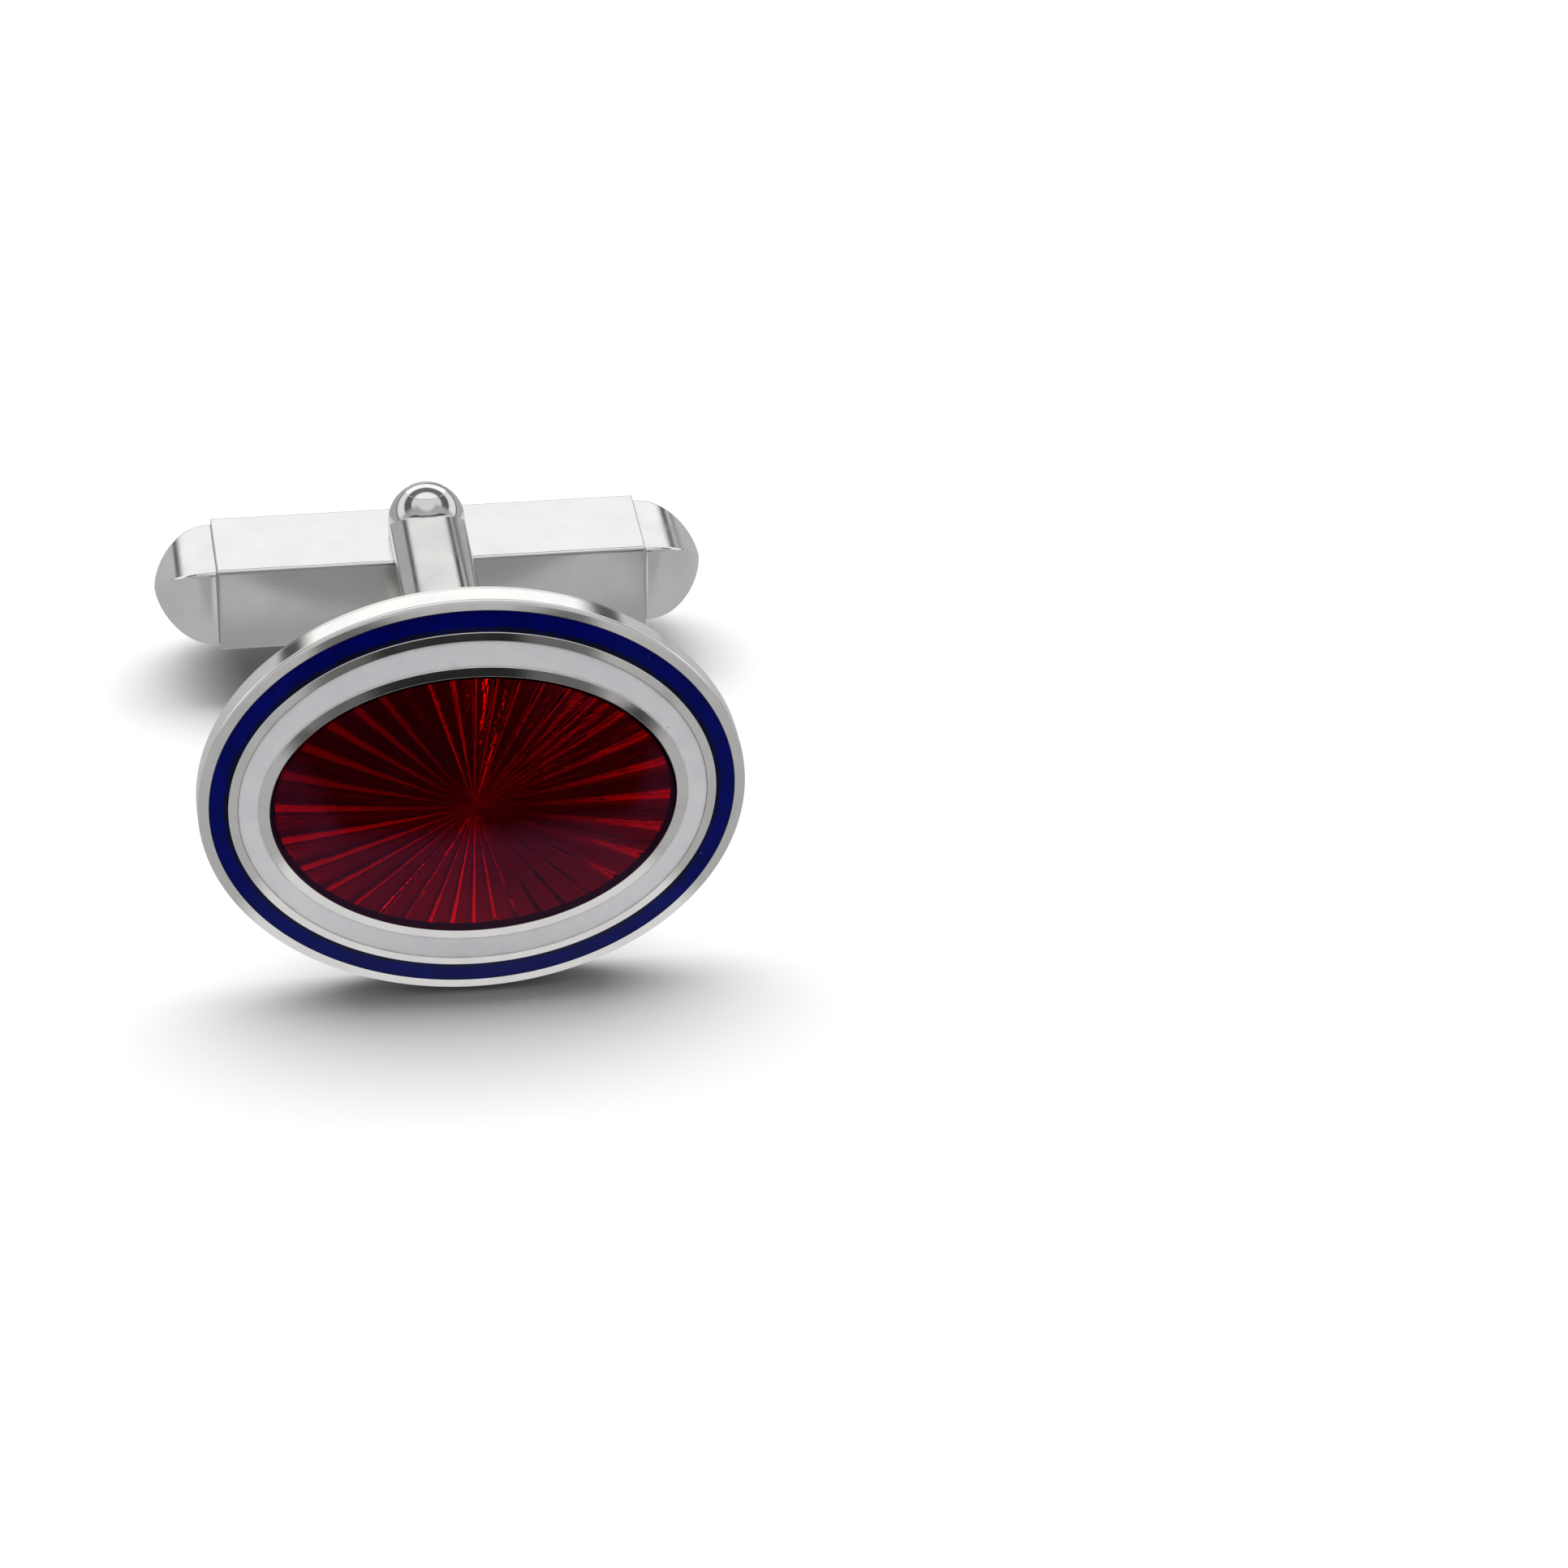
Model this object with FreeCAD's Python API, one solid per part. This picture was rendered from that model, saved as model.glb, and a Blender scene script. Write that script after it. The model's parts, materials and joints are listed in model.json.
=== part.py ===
"""Swivel-bar cufflink with an oval enamelled face, in millimetres.

The pieces are drawn square to the face: X runs along the oval's long axis, Y runs back from the
face along the post, Z runs up the oval's short axis, and Y = 0 is the edge of the domed front.
At the end the whole link is leaned back until its rim and its lower ball rest on Z = 0.
"""
import FreeCAD
import Part
import math
import os

# Face: outline, dome and rim
FACE_LONG = 18.0
FACE_SHORT = 14.4
DOME_RISE = 1.0
RIM_DEPTH = 0.9
RIM_ROUND = 0.2

# Widths of the rings from the rim inwards, each on the long axis and on the short axis
BORDER = (0.376, 0.350)
BLUE_RING = (0.613, 0.690)
BLUE_WALL = (0.319, 0.285)
WHITE_RING = (0.659, 0.850)
WHITE_WALL = (0.367, 0.325)

# Floors of the cells, measured back from the front edge
BLUE_FLOOR = 0.20
WHITE_FLOOR = 0.00
MOAT_FLOOR = 0.05

# Radial cuts in the floor of the red cell
RAYS = 36
RAY_CROWDING = 0.05
RIDGE_LEVEL = -0.20
CUT_DEPTH = 0.15
WIDE_SIDE = 0.70
MOAT_WIDTH = 0.20

# Back plate
BACK_THICK = 0.35
BACK_INSET = 0.08
BACK_BEVEL = 0.12

# Bar: a rectangular tube with two domed four-sided caps
POST_LENGTH = 16.5
BAR_BODY = 14.8
BAR_DEEP = 4.2
BAR_HIGH = 3.05
BAR_WALL = 0.45
BAR_EDGE = 0.08
CAP_LENGTH = 2.12
CAP_STEP = 0.14
CAP_SHOULDER = 0.10
CAP_TAPER = 1.25
CAP_STEPS = 12
SPIGOT = 1.2

# Stirrup: two half-round arms with ball-shaped eyes on a soldered foot
SIDE_PLAY = 0.08
ARM_WIDTH = 2.66
ARM_SIDE = 0.45
ARM_CROWN = 0.75
BALL_RADIUS = 1.34
BALL_LEVEL = 2.0
BRIDGE = 1.0
BRIDGE_ROUND = 0.7
FOOT_RADIUS = 3.3
FOOT_THICK = 0.45
FOOT_BEVEL = 0.2

# Pivot pin and the leaf springs that press on its flats
PIN_RADIUS = 0.7
PIN_PLAY = 0.04
PIN_PROUD = 0.015
FLAT_SPREAD = 1.0
FLAT_HIGH = 1.9
LEAF_THICK = 0.18
LEAF_HIGH = 1.6
LEAF_SPAN = 9.2
LEAF_GAP = 0.015

# Distance under which two places count as the same, and the one for the crossing vaults of a cap
SAME = 1e-6
VAULT_SAME = 1e-4

ARM_INSIDE = BAR_HIGH / 2 + SIDE_PLAY
ARM_TOP = ARM_INSIDE + ARM_SIDE + ARM_CROWN
BACK_FACE = RIM_DEPTH + BACK_THICK
ALONG_X = FreeCAD.Vector(1, 0, 0)
ALONG_Y = FreeCAD.Vector(0, 1, 0)
ALONG_Z = FreeCAD.Vector(0, 0, 1)
PIVOT = FreeCAD.Vector(0, POST_LENGTH, 0)
UPPER_BALL = PIVOT + ALONG_Z * BALL_LEVEL


def point(x, y, z):
    """A point in the face's own axes."""
    return FreeCAD.Vector(x, y, z)


def ring_sizes():
    """Half-lengths of each ring's outline on the long and short axes, from the rim inwards."""
    half = (FACE_LONG / 2, FACE_SHORT / 2)
    sizes = [half]
    for width in (BORDER, BLUE_RING, BLUE_WALL, WHITE_RING, WHITE_WALL):
        half = (half[0] - width[0], half[1] - width[1])
        sizes.append(half)
    return sizes


def oval_column(half, front, back):
    """A straight column with an oval outline that runs from front to back."""
    outline = Part.Ellipse(point(0, front, 0), half[0], half[1])
    outline.Axis = ALONG_Y
    outline.XAxis = ALONG_X
    face = Part.Face(Part.Wire([outline.toShape()]))
    return face.extrude(point(0, back - front, 0))


def arc_radius(half_width, rise):
    """Radius of the arc that spans twice half_width and rises by rise in the middle."""
    return (half_width ** 2 + rise ** 2) / (2 * rise)


def flattened(shape, half):
    """A round shape whose radius is half[0], pressed to an oval that is half[1] on its short axis."""
    press = FreeCAD.Matrix()
    press.scale(1, 1, half[1] / half[0])
    return shape.transformGeometry(press)


def edges_at(shape, depth):
    """The edges that lie in the plane at one depth behind the front edge."""
    flat = [edge for edge in shape.Edges if edge.BoundBox.YLength < SAME]
    return [edge for edge in flat if abs(edge.BoundBox.YMax - depth) < SAME]


def face_blank():
    """The face plate before its cells are cut: domed front, straight rim, rounded front edge."""
    half = ring_sizes()[0]
    radius = arc_radius(half[0], DOME_RISE)
    ball = Part.makeSphere(radius, point(0, radius - DOME_RISE, 0), ALONG_Z)
    blank = oval_column(half, -2 * DOME_RISE, RIM_DEPTH).common(flattened(ball, half))
    front_edges = [edge for edge in blank.Edges if abs(edge.CenterOfMass.y) < RIM_ROUND]
    return blank.makeFillet(RIM_ROUND, front_edges)


def ray_angle(turn):
    """Direction of a place counted in rays; the rays stand a little closer at the oval's flat sides."""
    even = 2 * math.pi * turn / RAYS
    return even + RAY_CROWDING * math.sin(2 * even)


def sunburst(half):
    """An island with a pleated top: ridges at one level, and valleys that deepen towards the rim.

    Each ray has one wide side and one narrow side, as a leaning cutter leaves them.
    """
    reach = (half[0] - MOAT_WIDTH, half[1] - MOAT_WIDTH)
    centre = point(0, RIDGE_LEVEL, 0)
    crests = []
    bases = []
    for step in range(2 * RAYS):
        ray, valley = divmod(step, 2)
        angle = ray_angle(ray + WIDE_SIDE * valley)
        distance = 1 / math.hypot(math.cos(angle) / reach[0], math.sin(angle) / reach[1])
        level = RIDGE_LEVEL + CUT_DEPTH * valley
        x = distance * math.cos(angle)
        z = distance * math.sin(angle)
        crests.append(point(x, level, z))
        bases.append(point(x, MOAT_FLOOR + DOME_RISE / 2, z))
    faces = [Part.Face(Part.makePolygon(bases + bases[:1]))]
    for step in range(2 * RAYS):
        after = (step + 1) % (2 * RAYS)
        facet = [centre, crests[step], crests[after], centre]
        side = [crests[step], bases[step], bases[after], crests[after], crests[step]]
        faces.append(Part.Face(Part.makePolygon(facet)))
        faces.append(Part.Face(Part.makePolygon(side)))
    return Part.makeSolid(Part.makeShell(faces))


def cell_tools():
    """The space of each enamel field, cut from the front down to the cell's floor."""
    blue_out, blue_in, white_out, white_in, red = ring_sizes()[1:]
    front = -2 * DOME_RISE
    blue = oval_column(blue_out, front, BLUE_FLOOR).cut(oval_column(blue_in, front, BLUE_FLOOR))
    white = oval_column(white_out, front, WHITE_FLOOR).cut(oval_column(white_in, front, WHITE_FLOOR))
    centre = oval_column(red, front, MOAT_FLOOR).cut(sunburst(red))
    return {"blue_enamel": blue, "white_enamel": white, "red_enamel": centre}


def face_pieces():
    """The face plate with its cells, and the enamel that fills each cell flush with the dome."""
    plate = face_blank()
    pieces = {}
    for name, tool in cell_tools().items():
        pieces[name] = plate.common(tool)
        plate = plate.cut(tool)
    pieces["face_plate"] = plate
    return pieces


def back_plate():
    """A thin flat oval behind the face plate, a little smaller, with a bevelled rear edge."""
    half = (FACE_LONG / 2 - BACK_INSET, FACE_SHORT / 2 - BACK_INSET)
    plate = oval_column(half, RIM_DEPTH, BACK_FACE)
    return plate.makeChamfer(BACK_BEVEL, edges_at(plate, BACK_FACE))


def arm_section():
    """Section of the upper arm: flat inside, short straight sides, a low round crown outside."""
    half = ARM_WIDTH / 2
    side_top = ARM_INSIDE + ARM_SIDE
    left = point(-half, 0, side_top)
    right = point(half, 0, side_top)
    inner_left = point(-half, 0, ARM_INSIDE)
    inner_right = point(half, 0, ARM_INSIDE)
    edges = [
        Part.LineSegment(inner_left, inner_right).toShape(),
        Part.LineSegment(inner_right, right).toShape(),
        Part.Arc(right, point(0, 0, ARM_TOP), left).toShape(),
        Part.LineSegment(left, inner_left).toShape(),
    ]
    return Part.Face(Part.Wire(edges))


def eye():
    """The ball-shaped end of the upper arm, on a short column of the same width."""
    column = Part.makeCylinder(BALL_RADIUS, BALL_LEVEL - ARM_INSIDE, PIVOT + ALONG_Z * ARM_INSIDE)
    return column.fuse(Part.makeSphere(BALL_RADIUS, UPPER_BALL, ALONG_Z, 0, 90, 360))


def lower_twin(shape):
    """The same shape on the other side of the bar."""
    return shape.mirror(point(0, 0, 0), ALONG_Z)


def stirrup():
    """Two arms with eyes, joined by a bridge on a round foot, with a rounded throat."""
    arm = arm_section().extrude(point(0, POST_LENGTH - BACK_FACE, 0))
    arm.translate(point(0, BACK_FACE, 0))
    upper = arm.fuse(eye())
    bridge_size = (ARM_WIDTH, BRIDGE + BRIDGE_ROUND, 2 * ARM_INSIDE)
    bridge = Part.makeBox(*bridge_size, point(-ARM_WIDTH / 2, BACK_FACE, -ARM_INSIDE))
    throat_back = BACK_FACE + BRIDGE
    throat = Part.makeBox(2 * ARM_WIDTH, POST_LENGTH, 2 * ARM_INSIDE,
                          point(-ARM_WIDTH, throat_back, -ARM_INSIDE))
    corners = [edge for edge in throat.Edges
               if abs(edge.CenterOfMass.y - throat_back) < SAME and abs(edge.CenterOfMass.x) < SAME]
    throat = throat.makeFillet(BRIDGE_ROUND, corners)
    foot = Part.makeCylinder(FOOT_RADIUS, FOOT_THICK, point(0, BACK_FACE, 0), ALONG_Y)
    foot = foot.makeChamfer(FOOT_BEVEL, edges_at(foot, BACK_FACE + FOOT_THICK))
    body = upper.fuse([lower_twin(upper), bridge.cut(throat), foot]).removeSplitter()
    return body.cut(pin_column(PIN_RADIUS))


def pin_column(radius):
    """A round column on the pivot's axis, longer than the pin."""
    reach = 2 * (BALL_LEVEL + BALL_RADIUS)
    return Part.makeCylinder(radius, 2 * reach, PIVOT - ALONG_Z * reach, ALONG_Z)


def pivot_pin():
    """Pin riveted into both eyes, its ends rounded with the balls, and with four flats inside the bar."""
    tip = Part.makeCylinder(PIN_RADIUS, 2 * BALL_RADIUS, UPPER_BALL)
    tip = tip.common(Part.makeSphere(BALL_RADIUS + PIN_PROUD, UPPER_BALL, ALONG_X))
    shank = Part.makeCylinder(PIN_RADIUS, 2 * BALL_LEVEL, PIVOT - ALONG_Z * BALL_LEVEL)
    shank = shank.fuse([tip, lower_twin(tip)]).removeSplitter()
    band = Part.makeCylinder(2 * PIN_RADIUS, FLAT_HIGH, PIVOT - ALONG_Z * FLAT_HIGH / 2, ALONG_Z)
    corner = PIVOT - point(FLAT_SPREAD / 2, FLAT_SPREAD / 2, FLAT_HIGH / 2)
    square = Part.makeBox(FLAT_SPREAD, FLAT_SPREAD, FLAT_HIGH, corner)
    return shank.cut(band.cut(square))


def bar_block(length, inset):
    """A rectangular block round the bar's axis, smaller than the bar by inset on each side."""
    deep = BAR_DEEP - 2 * inset
    high = BAR_HIGH - 2 * inset
    return Part.makeBox(length, deep, high, PIVOT - point(length / 2, deep / 2, high / 2))


def bar_tube():
    """The bar's straight body: a rectangular tube with eased long edges and two pin holes."""
    block = bar_block(BAR_BODY, 0)
    long_edges = [edge for edge in block.Edges if edge.Length > BAR_BODY / 2]
    block = block.makeFillet(BAR_EDGE, long_edges)
    hollow = bar_block(2 * BAR_BODY, BAR_WALL)
    return block.cut(hollow).cut(pin_column(PIN_RADIUS + PIN_PLAY))


def vault(half, sideways):
    """A vault over the bar's end: an outline that tapers to a round tip, drawn out along one axis."""
    start = BAR_BODY / 2 + CAP_SHOULDER
    length = CAP_LENGTH - CAP_SHOULDER
    outline = []
    for step in range(-CAP_STEPS, CAP_STEPS + 1):
        turn = math.pi / 2 * step / CAP_STEPS
        rise = math.copysign(abs(math.sin(turn)) ** CAP_TAPER, turn)
        outline.append(point(start + length * math.cos(turn), half * rise, -BAR_DEEP))
    curve = Part.BSplineCurve()
    curve.interpolate(outline)
    seat = [point(BAR_BODY / 2, half, -BAR_DEEP), point(BAR_BODY / 2, -half, -BAR_DEEP)]
    sides = Part.makePolygon([outline[-1]] + seat + [outline[0]])
    solid = Part.Face(Part.Wire([curve.toShape()] + sides.Edges)).extrude(ALONG_Z * (2 * BAR_DEEP))
    if sideways:
        solid.rotate(point(0, 0, 0), ALONG_X, 90)
    return solid


def end_cap(side):
    """Cap of the bar's right (1) or left (-1) end: a four-sided dome on a spigot."""
    over = vault(BAR_DEEP / 2 - CAP_STEP, False)
    across = vault(BAR_HIGH / 2 - CAP_STEP, True)
    head = over.common(across, VAULT_SAME).removeSplitter().translated(PIVOT)
    spigot = bar_block(SPIGOT, BAR_WALL)
    spigot.translate(point((BAR_BODY - SPIGOT) / 2, 0, 0))
    cap = head.fuse(spigot).removeSplitter()
    if side < 0:
        cap = cap.mirror(point(0, 0, 0), ALONG_X)
    return cap


def leaf_spring():
    """A bowed strip behind the pin: its middle lies on a flat, its ends bear on the tube's wall."""
    near = FLAT_SPREAD / 2 + LEAF_GAP
    far = BAR_DEEP / 2 - BAR_WALL - LEAF_GAP
    end = LEAF_SPAN / 2
    floor = -LEAF_HIGH / 2
    inner = Part.Arc(point(-end, far - LEAF_THICK, floor), point(0, near, floor),
                     point(end, far - LEAF_THICK, floor)).toShape()
    outer = Part.Arc(point(-end, far, floor), point(0, near + LEAF_THICK, floor),
                     point(end, far, floor)).toShape()
    ends = [
        Part.LineSegment(point(x, far - LEAF_THICK, floor), point(x, far, floor)).toShape()
        for x in (-end, end)
    ]
    face = Part.Face(Part.Wire(Part.__sortEdges__([inner, outer] + ends)))
    return face.extrude(ALONG_Z * LEAF_HIGH)


def click_springs():
    """The two leaves, in front of the pin and behind it."""
    leaf = leaf_spring()
    twin = leaf.mirror(point(0, 0, 0), ALONG_Y)
    return Part.makeCompound([leaf.translated(PIVOT), twin.translated(PIVOT)])


def rim_drop(lean):
    """How far the rim's lower rear edge lies below the face's centre at a given lean."""
    return FACE_SHORT / 2 * math.cos(lean) + RIM_DEPTH * math.sin(lean)


def ball_drop(lean):
    """How far the lower ball, with the pin's end on it, reaches below the face's centre at a given lean."""
    centre = POST_LENGTH * math.sin(lean) + BALL_LEVEL * math.cos(lean)
    return centre + BALL_RADIUS + PIN_PROUD


def resting_lean():
    """The lean at which the rim and the lower ball touch the same level, found by halving."""
    low = 0.0
    high = math.pi / 4
    while high - low > SAME / POST_LENGTH:
        middle = (low + high) / 2
        if ball_drop(middle) < rim_drop(middle):
            low = middle
        else:
            high = middle
    return low


def set_down(pieces):
    """Lean the link back onto its rim and its lower ball, and centre its box over the origin."""
    lean = resting_lean()
    for shape in pieces.values():
        shape.rotate(point(0, 0, 0), ALONG_X, -math.degrees(lean))
        shape.translate(ALONG_Z * rim_drop(lean))
    boxes = [shape.optimalBoundingBox() for shape in pieces.values()]
    middle = (min(box.YMin for box in boxes) + max(box.YMax for box in boxes)) / 2
    for shape in pieces.values():
        shape.translate(point(0, -middle, 0))
    print("lean %.3f degrees, face centre at Y %.4f Z %.4f" % (math.degrees(lean), -middle, rim_drop(lean)))


def main():
    """Build every piece, set the link down and write one file per piece."""
    pieces = face_pieces()
    pieces["back_plate"] = back_plate()
    pieces["stirrup"] = stirrup()
    pieces["pivot_pin"] = pivot_pin()
    pieces["bar_tube"] = bar_tube()
    pieces["right_end_cap"] = end_cap(1)
    pieces["left_end_cap"] = end_cap(-1)
    pieces["click_springs"] = click_springs()
    set_down(pieces)
    os.makedirs("parts", exist_ok=True)
    for name, shape in pieces.items():
        if len(shape.Solids) == 1:
            shape = shape.Solids[0]
        shape.exportStep("parts/%s.step" % name)
        print("%-14s %-9s valid %s volume %.3f" % (name, shape.ShapeType, shape.isValid(), shape.Volume))


main()
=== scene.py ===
"""Swivel-bar cufflink with an oval enamelled face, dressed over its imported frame.

Sizes are millimetres in the face's own axes: X along the oval's long axis, Y back along the post,
Z up the short axis, with Y = 0 at the edge of the domed front.
"""
import json
import logging
import math
from dataclasses import dataclass, field
from enum import Enum
from typing import Dict, List, Sequence, Tuple

import bmesh
import bpy
from mathutils import Matrix, Vector

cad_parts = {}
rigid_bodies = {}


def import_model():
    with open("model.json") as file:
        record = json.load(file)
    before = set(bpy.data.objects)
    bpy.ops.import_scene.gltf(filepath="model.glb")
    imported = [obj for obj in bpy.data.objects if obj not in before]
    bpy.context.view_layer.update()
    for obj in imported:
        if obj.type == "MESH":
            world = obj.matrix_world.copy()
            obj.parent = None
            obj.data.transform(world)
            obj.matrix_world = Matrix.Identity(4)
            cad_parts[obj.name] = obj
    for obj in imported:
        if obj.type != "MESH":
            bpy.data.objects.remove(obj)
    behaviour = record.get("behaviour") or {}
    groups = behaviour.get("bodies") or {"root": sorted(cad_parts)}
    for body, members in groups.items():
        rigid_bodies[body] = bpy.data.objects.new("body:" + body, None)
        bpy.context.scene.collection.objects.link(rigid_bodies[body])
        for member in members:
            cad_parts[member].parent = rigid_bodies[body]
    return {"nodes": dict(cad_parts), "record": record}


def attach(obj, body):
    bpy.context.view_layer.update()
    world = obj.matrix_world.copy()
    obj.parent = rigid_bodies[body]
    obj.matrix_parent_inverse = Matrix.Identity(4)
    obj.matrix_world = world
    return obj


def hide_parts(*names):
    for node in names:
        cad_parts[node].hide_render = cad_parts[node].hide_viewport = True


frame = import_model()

LOG = logging.getLogger("cufflink")
MM = 0.001
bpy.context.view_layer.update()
EDGE_SHADE = "edge_shade"
POST_LENGTH = 16.5  # from the front edge to the pin
MID_EASE = 0.3  # share of an easing that is left in the middle of its edge
NOISE_SPAN = (0.3, 0.7)  # range of a noise that the gloss follows

Half = Tuple[float, float]
Span = Tuple[float, float]
Stops = Tuple[Tuple[float, float], ...]
Colour = Tuple[float, float, float, float]
Edges = List[bmesh.types.BMEdge]
Verts = List[bmesh.types.BMVert]
Socket = bpy.types.NodeSocket
Group = Tuple["Bench", bpy.types.Node, bpy.types.Node]
Finishes = Dict[str, bpy.types.Material]


class Body(Enum):
    """The two rigid bodies of the link."""

    FACE = "face"
    BAR = "bar"


class Slot(Enum):
    """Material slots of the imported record."""

    POLISHED = "polished_silver"
    BRUSHED = "brushed_silver"
    BLUE = "blue_enamel"
    WHITE = "white_enamel"
    RED = "red_enamel"


class Side(Enum):
    """The bar's two ends, as signs along X."""

    LEFT = -1
    RIGHT = 1


@dataclass(frozen=True)
class LinkPlace:
    """Where the leaning link stands on the table."""

    post_length: float = POST_LENGTH

    def matrix(self) -> Matrix:
        """Placement of the face's own axes in the frame.

        Returns:
            A matrix from millimetres in the face's axes to metres in the frame.
        """
        joint = frame["record"]["behaviour"]["joints"][0]
        up = Vector(joint["axis"]).normalized()
        across = Vector((1.0, 0.0, 0.0))
        back = up.cross(across)
        origin = Vector(joint["pos_m"]) - back * (self.post_length * MM)
        turn = Matrix((across, back, up)).transposed()
        return Matrix.Translation(origin) @ turn.to_4x4() @ Matrix.Scale(MM, 4)


PLACE = LinkPlace().matrix()


def arc_radius(half_width: float, rise: float) -> float:
    """Radius of the arc that spans twice half_width and rises by rise in the middle."""
    return (half_width ** 2 + rise ** 2) / (2 * rise)


def verts_of(geom: Sequence[object]) -> Verts:
    """The vertices among mixed elements of a mesh."""
    return [item for item in geom if isinstance(item, bmesh.types.BMVert)]


def loop_edges(verts: Verts) -> Edges:
    """The edges that join the given vertices to each other."""
    chosen = set(verts)
    return [edge for edge in {e for v in verts for e in v.link_edges} if set(edge.verts) <= chosen]


def extruded(bm: bmesh.types.BMesh, edges: Edges) -> Verts:
    """Extrude a row of edges in place.

    Args:
        bm: The mesh being shaped.
        edges: The open or closed row of edges.

    Returns:
        The new vertices, still on top of the old ones.
    """
    return verts_of(bmesh.ops.extrude_edge_only(bm, edges=edges)["geom"])


@dataclass(frozen=True)
class Piece:
    """Name, body, slot and CAD nodes of one finished piece."""

    name: str
    body: Body
    slot: Slot
    nodes: Tuple[str, ...]
    sharp_deg: float = 40.0

    def settle(self, bm: bmesh.types.BMesh, material: bpy.types.Material) -> bpy.types.Object:
        """Close the mesh, set it in the frame and hand it to its body.

        Args:
            bm: The shaped mesh in the face's axes; it is freed.
            material: The piece's finish.

        Returns:
            The finished object.
        """
        bmesh.ops.remove_doubles(bm, verts=bm.verts, dist=1e-5)
        bmesh.ops.dissolve_degenerate(bm, dist=1e-6, edges=bm.edges)
        bmesh.ops.recalc_face_normals(bm, faces=bm.faces)
        for face in bm.faces:
            face.smooth = True
        bmesh.ops.transform(bm, matrix=PLACE, verts=bm.verts)
        mesh = bpy.data.meshes.new(self.name)
        bm.to_mesh(mesh)
        bm.free()
        mesh.set_sharp_from_angle(angle=math.radians(self.sharp_deg))
        mesh.materials.append(material)
        item = bpy.data.objects.new(self.name, mesh)
        bpy.context.collection.objects.link(item)
        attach(item, self.body.value)
        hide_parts(*self.nodes)
        LOG.info("%s rides on %s with %d faces", self.name, self.body.value, len(mesh.polygons))
        return item


# Finishes


class Bench:
    """A node tree with short ways to add and join nodes."""

    mix_sides: Tuple[int, int] = (6, 7)
    mix_result: int = 2

    def __init__(self, tree: bpy.types.NodeTree) -> None:
        """Work on the given tree."""
        self.tree = tree

    def add(self, kind: str, **values: object) -> bpy.types.Node:
        """Add a node.

        Args:
            kind: The node's type name.
            **values: What put takes.

        Returns:
            The new node.
        """
        node = self.tree.nodes.new(kind)
        self.put(node, **values)
        return node

    def put(self, node: bpy.types.Node, **values: object) -> None:
        """Set a node's properties and input sockets.

        Args:
            node: The node.
            **values: Properties, or input sockets by name with _ for a space.
        """
        for key, value in values.items():
            if hasattr(node, key):
                setattr(node, key, value)
            else:
                self.feed(node.inputs[key.replace("_", " ")], value)

    def feed(self, target: Socket, value: object) -> None:
        """Join an output to an input, or set the input.

        Args:
            target: The input.
            value: An output, a number or a colour.
        """
        if isinstance(value, bpy.types.NodeSocket):
            self.tree.links.new(value, target)
        else:
            target.default_value = value

    def math(self, operation: str, first: object, second: object = 0.0) -> Socket:
        """A math node on outputs or numbers.

        Args:
            operation: The node's operation.
            first: Output or number.
            second: Output or number.

        Returns:
            The node's output.
        """
        node = self.add("ShaderNodeMath", operation=operation)
        for target, value in zip(node.inputs, (first, second)):
            self.feed(target, value)
        return node.outputs[0]

    def spread(self, value: Socket, span: Span, levels: Span = (0.0, 1.0)) -> Socket:
        """Map a value from one range to another and hold it inside.

        Args:
            value: The output to map.
            span: Start and end of its range.
            levels: Result at the start and at the end.

        Returns:
            The mapped value.
        """
        node = self.add("ShaderNodeMapRange", Value=value, From_Min=span[0], From_Max=span[1],
                        To_Min=levels[0], To_Max=levels[1])
        return node.outputs["Result"]

    def between(self, value: Socket, rise: Span, fall: Span) -> Socket:
        """A mask that rises over one span of a value and falls over another.

        Args:
            value: The output to test.
            rise: Where the mask goes from 0 to 1.
            fall: Where it goes back to 0.

        Returns:
            The mask.
        """
        return self.math("MULTIPLY", self.spread(value, rise), self.spread(value, fall, (1.0, 0.0)))

    def mixed(self, factor: object, first: object, second: object, blend: str = "MIX") -> Socket:
        """Mix two colours.

        Args:
            factor: 0 for the first, 1 for the second.
            first: A colour, a grey level or an output.
            second: A colour, a grey level or an output.
            blend: The way of mixing.

        Returns:
            The mixed colour.
        """
        node = self.add("ShaderNodeMix", data_type="RGBA", blend_type=blend)
        self.feed(node.inputs[0], factor)
        for side, value in zip(self.mix_sides, (first, second)):
            grey = isinstance(value, float)
            self.feed(node.inputs[side], (value, value, value, 1.0) if grey else value)
        return node.outputs[self.mix_result]

    def stepped(self, value: Socket, span: Span, first: object, second: object) -> Socket:
        """One colour before a span of a value and another after it.

        Args:
            value: The output to test.
            span: Where the first goes over into the second.
            first: A colour, a grey level or an output.
            second: A colour, a grey level or an output.

        Returns:
            The colour.
        """
        return self.mixed(self.spread(value, span), first, second)

    def bumped(self, height: Socket, strength: float, depth: float) -> Socket:
        """A normal that follows a height.

        Args:
            height: The height, from 0 to 1.
            strength: How much of it shows.
            depth: Its size in millimetres.

        Returns:
            The normal.
        """
        return self.add("ShaderNodeBump", Strength=strength, Distance=depth * MM, Height=height).outputs[0]

    def axes(self, vector: Socket) -> Tuple[Socket, ...]:
        """The X, Y and Z of a vector."""
        return tuple(self.add("ShaderNodeSeparateXYZ", Vector=vector).outputs)

    def link_coordinates(self) -> Socket:
        """Object coordinates turned to the face's axes.

        Returns:
            The coordinates in millimetres.
        """
        where = self.add("ShaderNodeTexCoord").outputs["Object"]
        turn = self.add("ShaderNodeMapping", vector_type="TEXTURE", Vector=where, Scale=(MM, MM, MM),
                        Location=PLACE.to_translation(), Rotation=PLACE.to_euler())
        return turn.outputs["Vector"]


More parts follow.
